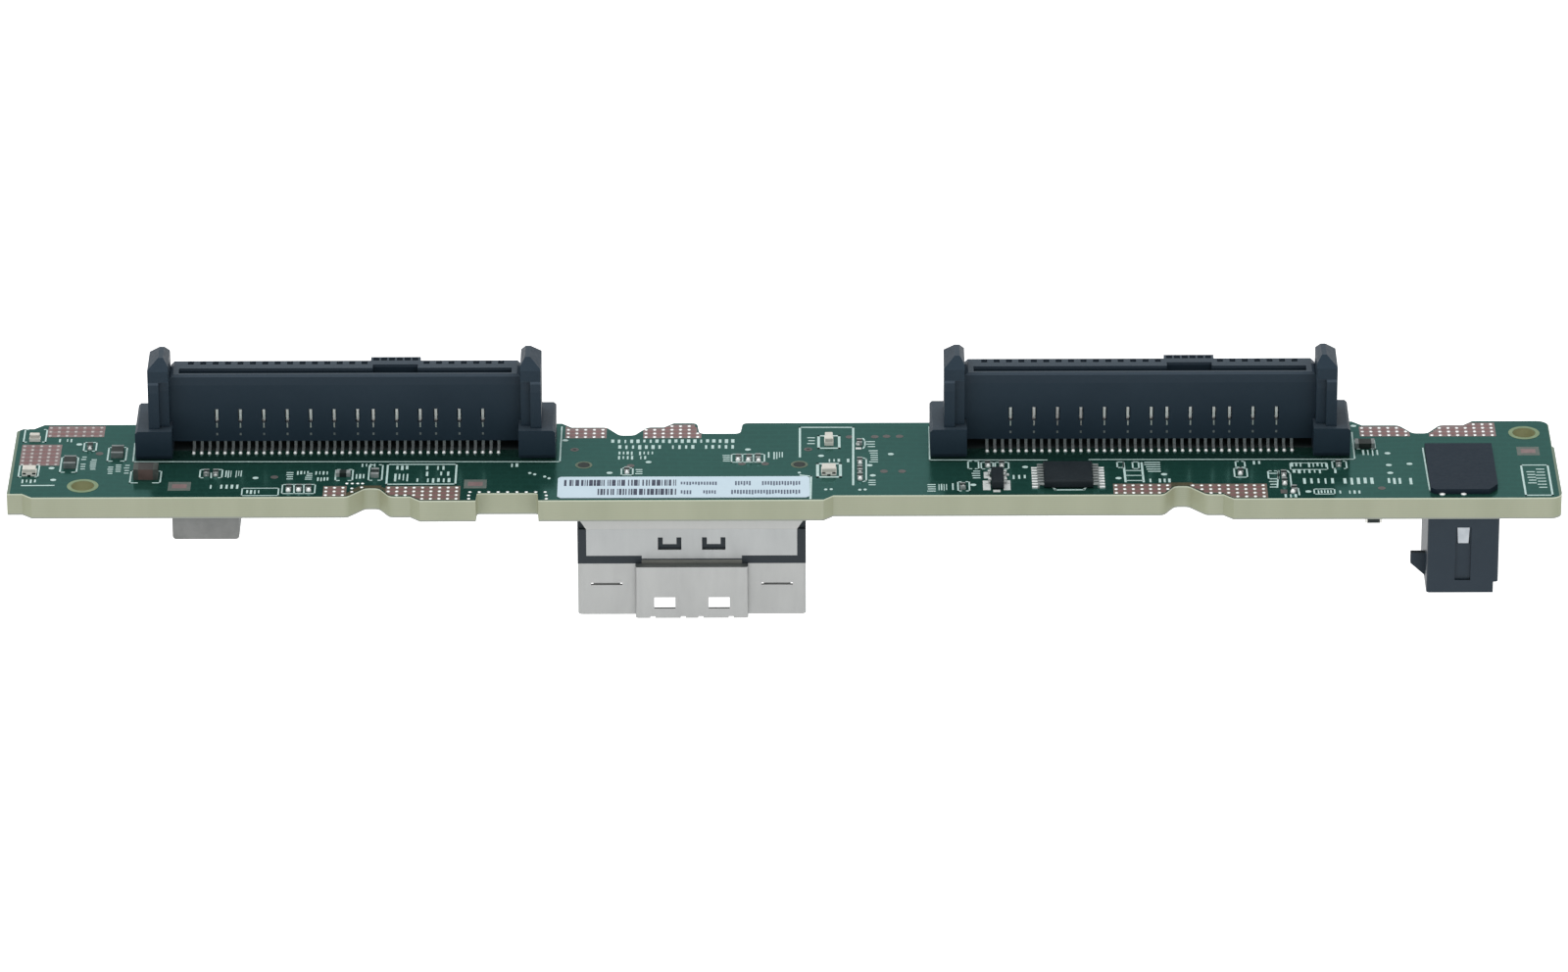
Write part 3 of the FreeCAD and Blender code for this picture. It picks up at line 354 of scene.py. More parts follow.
def painted_tint_between(material, low, high, tint):
    """Painted light and shade: another tint between two heights in mm."""
    tinted_where(material, lambda tree: between(tree, axes(tree, place_of(tree))[2], low, high), tint)


def painted_top_tint(material, tint):
    """Painted light and shade: another tint on the faces that point up, as the light falls on them."""
    tinted_where(material, lambda tree: maths(tree, "GREATER_THAN", normal_of(tree)[2], 0.9), tint)


def narrowed(material, half_width, lowest, tint):
    """Another tint on both sides of the contacts, so that they are bright along their middle only."""
    def outer(tree):
        x, _, z = axes(tree, place_of(tree))
        turns = maths(tree, "FRACT", maths(tree, "DIVIDE", beside_sockets(tree, x), CONTACT_PITCH * MM))
        away = maths(tree, "ABSOLUTE", maths(tree, "SUBTRACT", turns, 0.5))
        side = maths(tree, "GREATER_THAN", away, half_width / CONTACT_PITCH)
        return times(tree, side, beyond(tree, z, lowest))

    tinted_where(material, outer, tint)


# Zones of the board's mask, in mm: the pale edge at both ends, painted shade on the mask under the bodies of
# the drive sockets, and painted shade for the sockets' shadow and dark reflection within the printed frames
# in front of them
PALE_EDGE = 0.3
SHADE_HALF_WIDTH = 18.0
SHADE_FRONT, SHADE_BACK = SOCKET_FRONT - 0.25, SOCKET_FRONT + 3.6
SHADOW_HALF_WIDTH = 21.6
SHADOW_FRONT = SOCKET_FRONT - 3.5
# Heights on the routed edges: above the first a pale band is a painted highlight along the top edge, and
# below the second it is greyer
EDGE_HIGHLIGHT_Z, LOWER_RIM_Z = -0.14, -2.2


def socket_zone(tree, x, y, half_width, front, back):
    """One in a zone under or in front of each drive socket."""
    inside = maths(tree, "LESS_THAN", beside_sockets(tree, x), half_width * MM)
    return times(tree, inside, between(tree, y, front, back))


def buried_tracks(tree, place):
    """A warped brick pattern of narrow seams, seen as slightly lighter lines."""
    warp = texture(tree, "ShaderNodeTexNoise", place, Scale=45.0)
    shifted = node(tree, "ShaderNodeVectorMath", operation="MULTIPLY_ADD")
    shifted.inputs[1].default_value = (0.004, 0.004, 0.0)
    tree.links.new(warp.outputs["Color"], shifted.inputs[0])
    tree.links.new(place, shifted.inputs[2])
    tracks = texture(tree, "ShaderNodeTexBrick", shifted.outputs[0], Scale=230.0, Color1=(0, 0, 0, 1),
                     Color2=(0.25, 0.25, 0.25, 1), Mortar=(1, 1, 1, 1))
    tracks.inputs["Mortar Size"].default_value = 0.035
    return tracks.outputs["Color"]


def mask_colour(tree, place, tracks, shaded):
    """Patchy green with its tracks and its pale ends, and painted shade under and in front of the drive
    sockets.
    """
    x, y, _ = axes(tree, place)
    patches = texture(tree, "ShaderNodeTexNoise", place, Scale=60.0, Detail=3.0)
    mask = mixed(tree, patches.outputs["Fac"], (0.0105, 0.047, 0.0345), (0.015, 0.062, 0.0485))
    mask = mixed(tree, times(tree, tracks, 0.22), mask, (0.024, 0.094, 0.074))
    pale = beyond(tree, maths(tree, "ABSOLUTE", x), BOARD_HALF_LENGTH - PALE_EDGE)
    mask = mixed(tree, pale, mask, (0.2, 0.22, 0.16))
    # Painted shade under the drive sockets' bodies
    mask = mixed(tree, shaded, mask, (0.02, 0.026, 0.027))
    # Painted shade: the sockets' shadow and dark reflection on the mask in front of them
    socket_shadow = socket_zone(tree, x, y, SHADOW_HALF_WIDTH, SHADOW_FRONT, SHADE_FRONT)
    return mixed(tree, times(tree, socket_shadow, 0.45), mask, (0.003, 0.006, 0.004))


def laminate_colour(tree, place, normal):
    """Layered cream with streaks and a painted highlight along its top edge, darker towards its lower rim,
    with painted shade on the faces that look sideways.
    """
    plies = texture(tree, "ShaderNodeTexWave", place, Scale=1500.0, Distortion=1.5, Detail=2.0)
    plies.bands_direction = "Z"
    squeezed = texture(tree, "ShaderNodeMapping", place, Scale=(1.0, 1.0, 0.08))
    streaks = texture(tree, "ShaderNodeTexNoise", squeezed.outputs[0], Scale=260.0, Detail=4.0)
    cream = mixed(tree, streaks.outputs["Fac"], (0.292, 0.283, 0.198), (0.38, 0.367, 0.27))
    cream = mixed(tree, times(tree, plies.outputs["Fac"], 0.16), cream, (0.22, 0.22, 0.14))
    # Painted shade on the end faces that look sideways
    cream = mixed(tree, times(tree, maths(tree, "ABSOLUTE", normal[0]), 0.6), cream, (0.245, 0.245, 0.145))
    z = axes(tree, place)[2]
    # Painted highlight along the top edge
    cream = mixed(tree, beyond(tree, z, EDGE_HIGHLIGHT_Z), cream, (0.48, 0.49, 0.38))
    return mixed(tree, maths(tree, "LESS_THAN", z, LOWER_RIM_Z * MM), cream, (0.27, 0.26, 0.225))


def near_holes(tree, x, y):
    """One on and just round the walls of the two fixing holes."""
    flat = node(tree, "ShaderNodeCombineXYZ")
    tree.links.new(x, flat.inputs[0])
    tree.links.new(y, flat.inputs[1])
    distances = []
    for hole_x, hole_y in HOLES:
        away = node(tree, "ShaderNodeVectorMath", operation="DISTANCE")
        tree.links.new(flat.outputs[0], away.inputs[0])
        away.inputs[1].default_value = (hole_x * MM, hole_y * MM, 0.0)
        distances.append(away.outputs["Value"])
    return maths(tree, "LESS_THAN", maths(tree, "MINIMUM", *distances), (HOLE_RADIUS + 0.12) * MM)


def board_surface():
    """Green mask on the broad faces, layered cream laminate on the routed edges, gold in the holes."""
    material, tree, shader = new_material("board_mask_and_laminate", {"Specular Tint": (0.22, 1, 1, 1)})
    place = place_of(tree)
    x, y, _ = axes(tree, place)
    normal = normal_of(tree)
    broad = maths(tree, "GREATER_THAN", maths(tree, "ABSOLUTE", normal[2]), 0.5)
    edge = maths(tree, "SUBTRACT", 1.0, broad)
    # Painted shade under the drive sockets' bodies: there the mask takes a dark tint, no gleam and no metal
    # sheen
    shaded = socket_zone(tree, x, y, SHADE_HALF_WIDTH, SHADE_FRONT, SHADE_BACK)
    near = near_holes(tree, x, y)
    tracks = buried_tracks(tree, place)

    side = mixed(tree, near, laminate_colour(tree, place, normal), (0.34, 0.33, 0.18))
    mask = mask_colour(tree, place, tracks, shaded)
    tree.links.new(mixed(tree, broad, side, mask), shader.inputs["Base Color"])
    gleam = maths(tree, "SUBTRACT", 0.5, times(tree, shaded, 0.5))
    tree.links.new(gleam, shader.inputs["Specular IOR Level"])
    green = times(tree, broad, maths(tree, "SUBTRACT", 1.0, shaded))
    sheen = maths(tree, "ADD", times(tree, near, edge, 0.3), times(tree, green, 0.38))
    tree.links.new(sheen, shader.inputs["Metallic"])

    weave = texture(tree, "ShaderNodeTexNoise", place, Scale=1400.0, Detail=3.0).outputs["Fac"]
    satin = times(tree, weave, 0.1)
    roughness = node(tree, "ShaderNodeMix", data_type="FLOAT")
    tree.links.new(broad, roughness.inputs[0])
    for index, least in ((2, 0.55), (3, 0.13)):
        tree.links.new(maths(tree, "ADD", satin, least), roughness.inputs[index])
    tree.links.new(roughness.outputs[0], shader.inputs["Roughness"])
    raise_relief(tree, shader, maths(tree, "ADD", weave, tracks), 0.1, 0.00002)
    return material


# What several materials share
MOULDED = dict(patch=90.0, bump=0.22)
NICKEL = dict(metallic=0.7, grain=1800.0, patch=160.0, bump=0.1, stretch=(1.0, 1.0, 0.25))
TINNED = dict(grain=3000.0, patch=900.0, bump=0.1)
MASKED_COPPER = dict(metallic=0.1, specular=0.45, patch=1300.0)
PLATED_RING = dict(metallic=0.1, grain=2200.0, patch=900.0, bump=0.12)
PRINTED_INK = dict(specular=0.15, grain=3800.0, patch=2500.0)

# Heights in mm between which a material has another tint: painted light on the sockets' upper front, a
# painted highlight on their top rim, painted light on the plate's flange, and painted shade on the lower
# contacts
SOCKET_UPPER_BAND = (7.2, 8.1)
SOCKET_TOP_BAND = (8.1, 8.38)
FLANGE_BAND = (-5.17, -3.7)
LOWER_CONTACT_BAND = (0.1, 2.8)
# The bright middle of a drive socket's contacts
BRIGHT_HALF_WIDTH = 0.13

BOARD = board_surface()
SOCKET_PLASTIC = surface(
    "moulded_socket_black", (0.0128, 0.0262, 0.0405), (0.0162, 0.0318, 0.0478), 0.46, specular=0.16,
    **MOULDED)
# Painted light on the upper front of the housing
painted_tint_between(SOCKET_PLASTIC, *SOCKET_UPPER_BAND, (0.019, 0.034, 0.05))
# Painted highlight along the housing's top rim
painted_tint_between(SOCKET_PLASTIC, *SOCKET_TOP_BAND, (0.045, 0.066, 0.09))
# Painted light on the faces that point up
painted_top_tint(SOCKET_PLASTIC, (0.034, 0.05, 0.066))
CABLE_PLASTIC = surface(
    "moulded_cable_socket_black", (0.02, 0.027, 0.033), (0.025, 0.0325, 0.039), 0.5, specular=0.2,
    **MOULDED)
HEADER_PLASTIC = surface(
    "moulded_header_black", (0.015, 0.026, 0.0385), (0.0195, 0.0325, 0.046), 0.44, specular=0.2,
    grain=2200.0, patch=140.0, bump=0.2)
COVER_PLASTIC = surface(
    "moulded_cover_black", (0.0081, 0.0165, 0.0268), (0.0104, 0.0198, 0.031), 0.55, specular=0.13,
    patch=110.0, bump=0.2)
SHELL_METAL = surface("nickel_plated_sheet", (0.35, 0.357, 0.353), (0.395, 0.403, 0.398), 0.46, **NICKEL)
PLATE_METAL = surface("nickel_plated_cover", (0.345, 0.357, 0.358), (0.39, 0.403, 0.403), 0.46, **NICKEL)
# Painted light on the flange, which lies in the board's shade
painted_tint_between(PLATE_METAL, *FLANGE_BAND, (0.5, 0.505, 0.495))
DULL_STEEL = surface(
    "dull_folded_rim", (0.16, 0.165, 0.15), (0.205, 0.21, 0.19), 0.5, metallic=0.2, specular=0.3,
    grain=1800.0, patch=300.0)
NAIL_METAL = surface(
    "tinned_solder_nail", (0.33, 0.36, 0.39), (0.42, 0.45, 0.48), 0.36, metallic=0.7, **TINNED)
CONTACT_METAL = surface(
    "tin_plated_contact", (0.5, 0.5, 0.47), (0.6, 0.6, 0.57), 0.32, metallic=0.9, **TINNED)
SOCKET_CONTACT = surface(
    "socket_contact", (0.8, 0.81, 0.79), (0.88, 0.89, 0.87), 0.34, metallic=0.7, **TINNED)
# Painted shade on the lower part of the contacts
painted_tint_between(SOCKET_CONTACT, *LOWER_CONTACT_BAND, (0.27, 0.295, 0.3))
narrowed(SOCKET_CONTACT, BRIGHT_HALF_WIDTH, LOWER_CONTACT_BAND[1], (0.08, 0.095, 0.105))
PAD_SOLDER = surface(
    "pad_solder", (0.46, 0.49, 0.48), (0.58, 0.61, 0.6), 0.4, metallic=0.1, specular=0.3, bump=0.12)
WORN_DOT = surface(
    "worn_solder_dot", (0.36, 0.34, 0.335), (0.47, 0.44, 0.43), 0.42, metallic=0.1, specular=0.3, bump=0.12)
CHIP_END = surface(
    "tinned_chip_end", (0.23, 0.255, 0.255), (0.33, 0.355, 0.35), 0.38, metallic=0.3, bump=0.12)
DULL_CHIP_END = surface(
    "dull_chip_end", (0.125, 0.15, 0.152), (0.2, 0.225, 0.222), 0.38, metallic=0.3, bump=0.12)
SOLDER = surface("bright_solder", (0.84, 0.87, 0.86), (0.93, 0.95, 0.94), 0.28, metallic=0.15, bump=0.12)
PRINT = surface(
    "board_print_ink", (0.36, 0.49, 0.47), (0.45, 0.58, 0.56), 0.6, specular=0.2, grain=4200.0,
    patch=1800.0, bump=0.25)
COPPER = surface("masked_copper_field", (0.145, 0.095, 0.094), (0.2, 0.14, 0.137), 0.42, **MASKED_COPPER)
FRONT_COPPER = surface(
    "masked_copper_front", (0.122, 0.083, 0.068), (0.168, 0.124, 0.1), 0.42, **MASKED_COPPER)
COPPER_PAD = surface(
    "bare_copper_square", (0.16, 0.08, 0.08), (0.195, 0.1, 0.098), 0.4, metallic=0.1, specular=0.4)
BROWN_RIM = surface(
    "masked_brown_rim", (0.042, 0.04, 0.02), (0.062, 0.055, 0.028), 0.35, specular=0.35, patch=700.0,
    bump=0.12)
VIA_COPPER = surface("rose_via_copper", (0.06, 0.062, 0.06), (0.092, 0.082, 0.081), 0.45, specular=0.3)
RING = surface(
    "masked_hole_ring", (0.145, 0.21, 0.115), (0.19, 0.255, 0.15), 0.45, specular=0.25, **PLATED_RING)
PEG_RING = surface(
    "dim_hole_ring", (0.07, 0.1, 0.066), (0.1, 0.132, 0.09), 0.45, specular=0.3, **PLATED_RING)
FIDUCIAL = surface(
    "grey_mask_window", (0.076, 0.098, 0.088), (0.102, 0.124, 0.112), 0.5, specular=0.25, grain=3000.0,
    patch=1200.0)
LABEL = surface(
    "coated_label_paper", (0.44, 0.545, 0.615), (0.48, 0.585, 0.65), 0.6, specular=0.15, grain=2400.0,
    patch=150.0, bump=0.12)
LABEL_INK = surface("label_print_ink", (0.03, 0.037, 0.058), (0.065, 0.077, 0.11), 0.6, **PRINTED_INK)
LABEL_TEXT = surface("label_text_ink", (0.065, 0.082, 0.12), (0.12, 0.145, 0.195), 0.6, **PRINTED_INK)
CHIP_BODY = surface(
    "dark_fired_chip", (0.01, 0.016, 0.015), (0.018, 0.026, 0.024), 0.45, specular=0.2, patch=1600.0)
BROWN_BODY = surface(
    "brown_fired_ceramic", (0.094, 0.064, 0.057), (0.116, 0.081, 0.073), 0.5, specular=0.2, grain=2200.0,
    patch=900.0)
# Painted light and shade: the top face takes a darker grey tint than the sides
painted_top_tint(BROWN_BODY, (0.048, 0.046, 0.044))
DARK_END = surface(
    "dull_fired_end", (0.05, 0.06, 0.054), (0.085, 0.095, 0.088), 0.42, metallic=0.3, specular=0.3,
    patch=900.0)
CHIP_PLASTIC = surface(
    "moulded_chip_black", (0.0062, 0.0105, 0.0138), (0.0098, 0.0152, 0.019), 0.44, specular=0.17,
    grain=3000.0, patch=500.0, bump=0.2)
LAMP_BASE = surface(
    "white_lamp_base", (0.66, 0.67, 0.61), (0.76, 0.77, 0.72), 0.5, specular=0.3, grain=2400.0)
LAMP_LENS = surface(
    "clear_lamp_resin", (0.5, 0.49, 0.44), (0.6, 0.59, 0.53), 0.2, coat=0.3, grain=2400.0, bump=0.06)
CORE = surface(
    "pressed_powder_core", (0.165, 0.17, 0.166), (0.205, 0.21, 0.205), 0.66, specular=0.2, grain=2800.0,
    patch=500.0, bump=0.45, bump_depth=0.00003)

# Nodes that other pieces stand in for take no material, but for the header, whose mesh is copied
NODE_MATERIALS = {
    "circuit_board": BOARD,
    "cable_socket_shell": SHELL_METAL,
    "cable_socket_cover_plate": PLATE_METAL,
    "cable_socket_housing": CABLE_PLASTIC,
    "cable_socket_front_contacts": CONTACT_METAL,
    "cable_socket_rear_contacts": CONTACT_METAL,
    "power_header_housing": HEADER_PLASTIC,
    "power_header_pins": CONTACT_METAL,
    "power_header_solder_nails": NAIL_METAL,
    "pin_end_cover": COVER_PLASTIC,
    "inductor_body": CORE,
    "inductor_terminals": CONTACT_METAL,
    "paper_label": LABEL,
    "small_chip_bodies": CHIP_BODY,
    "small_chip_ends": CHIP_END,
    "large_ceramic_capacitor": BROWN_BODY,
    "large_ceramic_capacitor_ends": DARK_END,
    "underside_capacitor": CHIP_BODY,
    "underside_capacitor_ends": CONTACT_METAL,
    "transistor_leads": PAD_SOLDER,
}
for side in ("left", "right"):
    NODE_MATERIALS[side + "_drive_socket_housing"] = SOCKET_PLASTIC
    for ending in ("front_contacts", "rear_contacts", "board_locks"):
        NODE_MATERIALS[side + "_drive_socket_" + ending] = SOCKET_CONTACT
for name, material in NODE_MATERIALS.items():
    cad_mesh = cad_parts[name].data
    cad_mesh.materials.clear()
    cad_mesh.materials.append(material)

# Print on the board. Places read from the camera's picture are pixels, named with _PX
PRINT_TOP, BAR_TOP = 0.03, 0.02
STROKE, CORNER_STROKE = 0.16, 0.22
BAR_WIDTH, UPRIGHT_BAR_WIDTH = 0.3, 0.2
SKIPPED_BARS = 0.12
DOT_HALVES, SMALL_DOT_HALVES = (0.31, 0.27), (0.17, 0.22)
SOCKET_LINES_PX = (
    ((137.9, 452.6), (135.8, 471.4), (571.3, 471.4), (573.4, 435.8)),
    ((948.2, 435.8), (948.6, 469.6), (1068, 469.6)), ((1111.5, 469.2), (1382.3, 468.8), (1379.4, 441.5)),
)
CORNER_LINES_PX = (
    ((816.2, 466.5), (816.2, 436.4), (870.6, 436.4), (870.6, 495)),
    ((817, 485.2), (827.6, 486.2), (827, 509)), ((22.5, 495.8), (54.5, 495.6)),
    ((1075, 497.8), (1077, 500.2), (1106, 500), (1108, 497.6)), ((1146.4, 472.6), (1148.6, 491.8)),
    ((1164.8, 472.6), (1167, 491.8)),
)
THIN_LINES_PX = (
    ((1451.8, 457.5), (1459, 500.6), (1467, 503.2)), ((300, 494.5), (300, 504)), ((310, 494.5), (310, 504)),
    ((757.6, 463.5), (757.6, 472)), ((768.8, 463.5), (768.8, 472)), ((215.4, 483), (215.4, 487.8)),
    ((881, 467.6), (883.9, 468.6), (883.9, 490.8), (881, 491.7)),
    ((880.6, 447.6), (882.6, 450.2), (882.6, 455.4), (880.8, 457.8)), ((1149, 480.4), (1164.4, 480.4)),
    ((1149.6, 485.4), (1165.2, 485.4)), ((1150.2, 490.6), (1166, 490.6)),
    ((1304.6, 480.6), (1303.4, 497.6)),
    ((1313.6, 480.6), (1316.4, 483.4), (1317.8, 497), (1324.6, 498.2), (1326, 505.2)),
)
# Closed frames: two opposite corners and the width of the stroke in mm
FRAMES_PX = (
    (394.2, 474, 466, 494.4, 0.2), (1557.1, 474.8, 1579.1, 505.6, 0.2), (1317, 472.6, 1354, 479.4, 0.12),
    (835.4, 445, 856.2, 457.6, 0.26), (834.4, 473.4, 857.4, 487, 0.3), (287.4, 494.6, 321.8, 504, 0.14),
    (246.4, 498.4, 284.4, 506, 0.14), (746.4, 463.6, 780, 472, 0.16), (634, 478, 645.8, 485, 0.16),
    (1260, 478, 1272, 487.2, 0.16), (1341.4, 499.2, 1361.6, 504.4, 0.14),
)
# Frames that are open in front and behind: the last value is the share of the width that each corner takes
BRACKETS_PX = (
    (132.4, 481, 164.8, 493, 0.24), (203.6, 479.4, 227.2, 487.8, 0.14), (85.2, 451.8, 99, 460.6, 0.25),
    (61, 466.8, 80.2, 482.2, 0.25), (109.4, 456.8, 130, 470.8, 0.25), (18.6, 474.8, 40.4, 487, 0.12),
    (24, 438.6, 48.4, 451.4, 0.12), (342, 479.4, 360.4, 490.6, 0.22), (375.8, 474.6, 390.8, 490.4, 0.24),
    (988, 470.8, 998.4, 478.6, 0.3), (1001.4, 472, 1013.2, 478.8, 0.26), (1015.6, 472, 1029, 478.8, 0.26),
    (977.8, 491.8, 989, 501.2, 0.24), (1140.2, 471.6, 1146, 477.4, 0.4), (1156, 471.6, 1161.6, 478.4, 0.4),
    (1261.2, 471, 1269.8, 477, 0.28), (1294.6, 480.8, 1303.8, 489, 0.3), (1360, 470.8, 1373.4, 478.4, 0.16),
    (1383.6, 448.8, 1402, 458.2, 0.18),
)
# Rows of plain bars where a board carries its printed part marks: two corners and a count
BAR_ROWS_PX = (
    (59, 448.2, 79, 451.2, 5), (20.5, 489.6, 38, 493, 4), (229, 480.4, 237.4, 487.4, 3),
    (239.4, 480.4, 247.8, 487.4, 3), (212, 495, 245, 499.2, 6), (250, 500.4, 266, 504, 4),
    (1344, 500.4, 1359.6, 503.4, 5), (302, 481, 316, 484.4, 4), (320.6, 481.2, 336, 484.2, 4),
    (322.6, 487.4, 336, 491, 4), (367.6, 473.4, 388.8, 476.8, 5), (361.8, 484, 373, 489, 3),
    (403, 475.8, 418, 479.4, 3), (433, 475.8, 461, 479.4, 5), (425, 481.6, 461, 485.6, 5),
    (401, 483.8, 418, 491.2, 4), (423, 488.4, 461, 492.4, 7), (519.8, 473.4, 530, 476.8, 2),
    (622, 448.8, 751, 452, 20), (629, 454.6, 751, 458.2, 18), (630, 461, 667.8, 464.4, 9),
    (629.4, 465.6, 665, 469, 8), (783, 461.4, 799.6, 468.6, 6), (844, 468.6, 867.8, 471.4, 5),
    (957, 494, 967, 501.2, 4), (970, 493.4, 974.6, 500, 1), (1031.6, 485, 1048.4, 488.6, 3),
    (1171.6, 488.8, 1195.6, 492, 5), (1277, 470.8, 1287.4, 474, 2), (1316.4, 472.2, 1355, 476.6, 9),
    (1318, 479.4, 1365, 482.8, 9), (1328, 488.4, 1363, 494.6, 5), (1369, 488.6, 1376, 494.2, 1),
    (1376.4, 488, 1403, 494.4, 4), (1365.4, 500.8, 1389.4, 504, 5), (1384.4, 459.4, 1407.4, 465.4, 5),
    (1415, 488.2, 1442, 494.4, 5), (1309.6, 504.6, 1324.6, 507.4, 3),
)
UPRIGHT_BAR_ROWS_PX = (
    (82, 463, 89, 480, 7), (91.5, 468.4, 99, 480, 6), (109.6, 473.8, 116, 484.4, 5),
    (117.8, 473.8, 124, 484.4, 5), (126.4, 473.8, 132.6, 484.4, 4), (292, 481.4, 299.6, 490, 4),
    (648.4, 478.4, 655.6, 484.6, 3), (738, 464, 745, 471.6, 4), (824.4, 445.4, 831.4, 454.4, 3),
    (884.6, 449.6, 892.8, 457.2, 3), (887.6, 459, 895.6, 472.6, 6), (886.2, 489.2, 893.4, 496, 3),
    (992.6, 479.8, 1000, 489, 4), (947, 493.6, 954.6, 502.4, 4), (1168.6, 470.8, 1183.6, 482.4, 5),
    (1295.8, 481.8, 1302.6, 498.6, 6), (1560, 477.4, 1565.5, 494.4, 6), (1569.5, 477.4, 1575.5, 499, 7),
    (311.8, 482.4, 319, 490.2, 4),
)
DOTS_PX = (
    (52.6, 478), (54.3, 490), (81, 453.8), (260.8, 488), (622, 482.8), (763.2, 459), (837.8, 465.4),
    (887.4, 475), (890.6, 485.4), (909, 463.6), (993.2, 495), (1046, 476.8), (1141.4, 488.2),
    (1187.8, 484.2), (1335.2, 501.8), (1415.8, 462.8), (1438.2, 473.6), (1417.2, 474.8), (1418.6, 482.8),
    (661.8, 471.8), (576.9, 449.6), (1381, 434.9),
)
SMALL_DOTS_PX = (
    (815.6, 482.6), (540.6, 483), (545.6, 484.3), (555.8, 486.6), (560.2, 488.4), (842.6, 499.7),
    (848.2, 499.5), (877.4, 500), (882.8, 499.8),
)


def stroke(pixels, width=STROKE):
    ink.path([spot(*p) for p in pixels], width, 0.0, PRINT_TOP)


def frame_box(x0, y0, x1, y1, width):
    """A printed rectangle from the pixels of two opposite corners."""
    low, high = pixel_box(x0, y0, x1, y1)
    ink.path([low, (high[0], low[1]), high, (low[0], high[1])], width, 0.0, PRINT_TOP, True)


def bracket(x0, y0, x1, y1, share):
    """Printed corners that hold a part between them."""
    low, high = pixel_box(x0, y0, x1, y1)
    arm = (high[0] - low[0]) * share
    for edge, inward in ((low[0], arm), (high[0], -arm)):
        corners = [(edge + inward, low[1]), (edge, low[1]), (edge, high[1]), (edge + inward, high[1])]
        ink.path(corners, STROKE, 0.0, PRINT_TOP)


def print_bars(x0, y0, x1, y1, count, upright):
    """A row of small plain bars of uneven length. Where it is upright, the bars lie along X."""
    low, high = pixel_box(x0, y0, x1, y1)
    for k in range(count):
        if count > 4 and random.random() < SKIPPED_BARS:
            continue
        if upright:
            step = (high[1] - low[1]) / count
            y = low[1] + (k + 0.5) * step
            cut = random.uniform(0.0, 0.25) * (high[0] - low[0])
            width = min(UPRIGHT_BAR_WIDTH, step * 0.4)
            ink.ribbon((low[0] + cut, y), (high[0] - 0.1, y), width, 0.0, BAR_TOP)
        else:
            step = (high[0] - low[0]) / count
            x = low[0] + (k + 0.5) * step
            cut = random.uniform(0.0, 0.3) * (high[1] - low[1])
            width = min(BAR_WIDTH, step * 0.5) * random.uniform(0.55, 1.15)
            ink.ribbon((x, low[1] + cut), (x, high[1] - 0.08), width, 0.0, BAR_TOP)


ink = Builder()
for line in SOCKET_LINES_PX + THIN_LINES_PX:
    stroke(line)
for line in CORNER_LINES_PX:
    stroke(line, CORNER_STROKE)
for corners in FRAMES_PX:
    frame_box(*corners)
for corners in BRACKETS_PX:
    bracket(*corners)
for row in BAR_ROWS_PX:
    print_bars(*row, False)
for row in UPRIGHT_BAR_ROWS_PX:
    print_bars(*row, True)
for dot in DOTS_PX:
    ink.disc(*spot(*dot), *DOT_HALVES, 0.0, PRINT_TOP, 12)
for dot in SMALL_DOTS_PX:
    ink.disc(*spot(*dot), *SMALL_DOT_HALVES, 0.0, PRINT_TOP, 10)
ink.make("board_print", PRINT, "board_laminate")

# Copper fields with squares and solder dots: the pixel of the front left dot, columns, rows, the pitch of
# the columns, and how far the pitch of the rows is stretched
DOT_ROW_PITCH = 0.893
DOT_FIELDS_PX = (
    ((51.2, 445), 7, 3, 0.865, 1.1), ((22.4, 474.2), 5, 6, 0.862, 1), ((332, 505.4), 3, 3, 0.86, 1),
    ((395.5, 509.2), 9, 4, 0.866, 1), ((579.6, 446.2), 5, 4, 0.893, 1), ((659.1, 446.2), 7, 4, 0.885, 1),
    ((1139.2, 503), 7, 3, 0.875, 1), ((1218.2, 506.8), 9, 4, 0.893, 1), ((1390.4, 444.3), 6, 3, 0.893, 1),
    ((1461, 444.3), 8, 4, 0.888, 1),
)
# Share of a pitch by which a field reaches past its dots, and its cells in each pitch
FIELD_MARGIN = 0.32
CELLS = 4
CELL_CLEARANCE, SQUARE_CLEARANCE, DOT_CLEARANCE = 0.2, 0.45, 0.27
FIELD_TOP, SQUARE_TOP = 0.01, 0.018
SQUARE_HALF = 0.24
# Half width, half depth and height of a solder dot
FIELD_DOT, LONE_DOT = (0.2, 0.23, 0.05), (0.19, 0.2, 0.05)
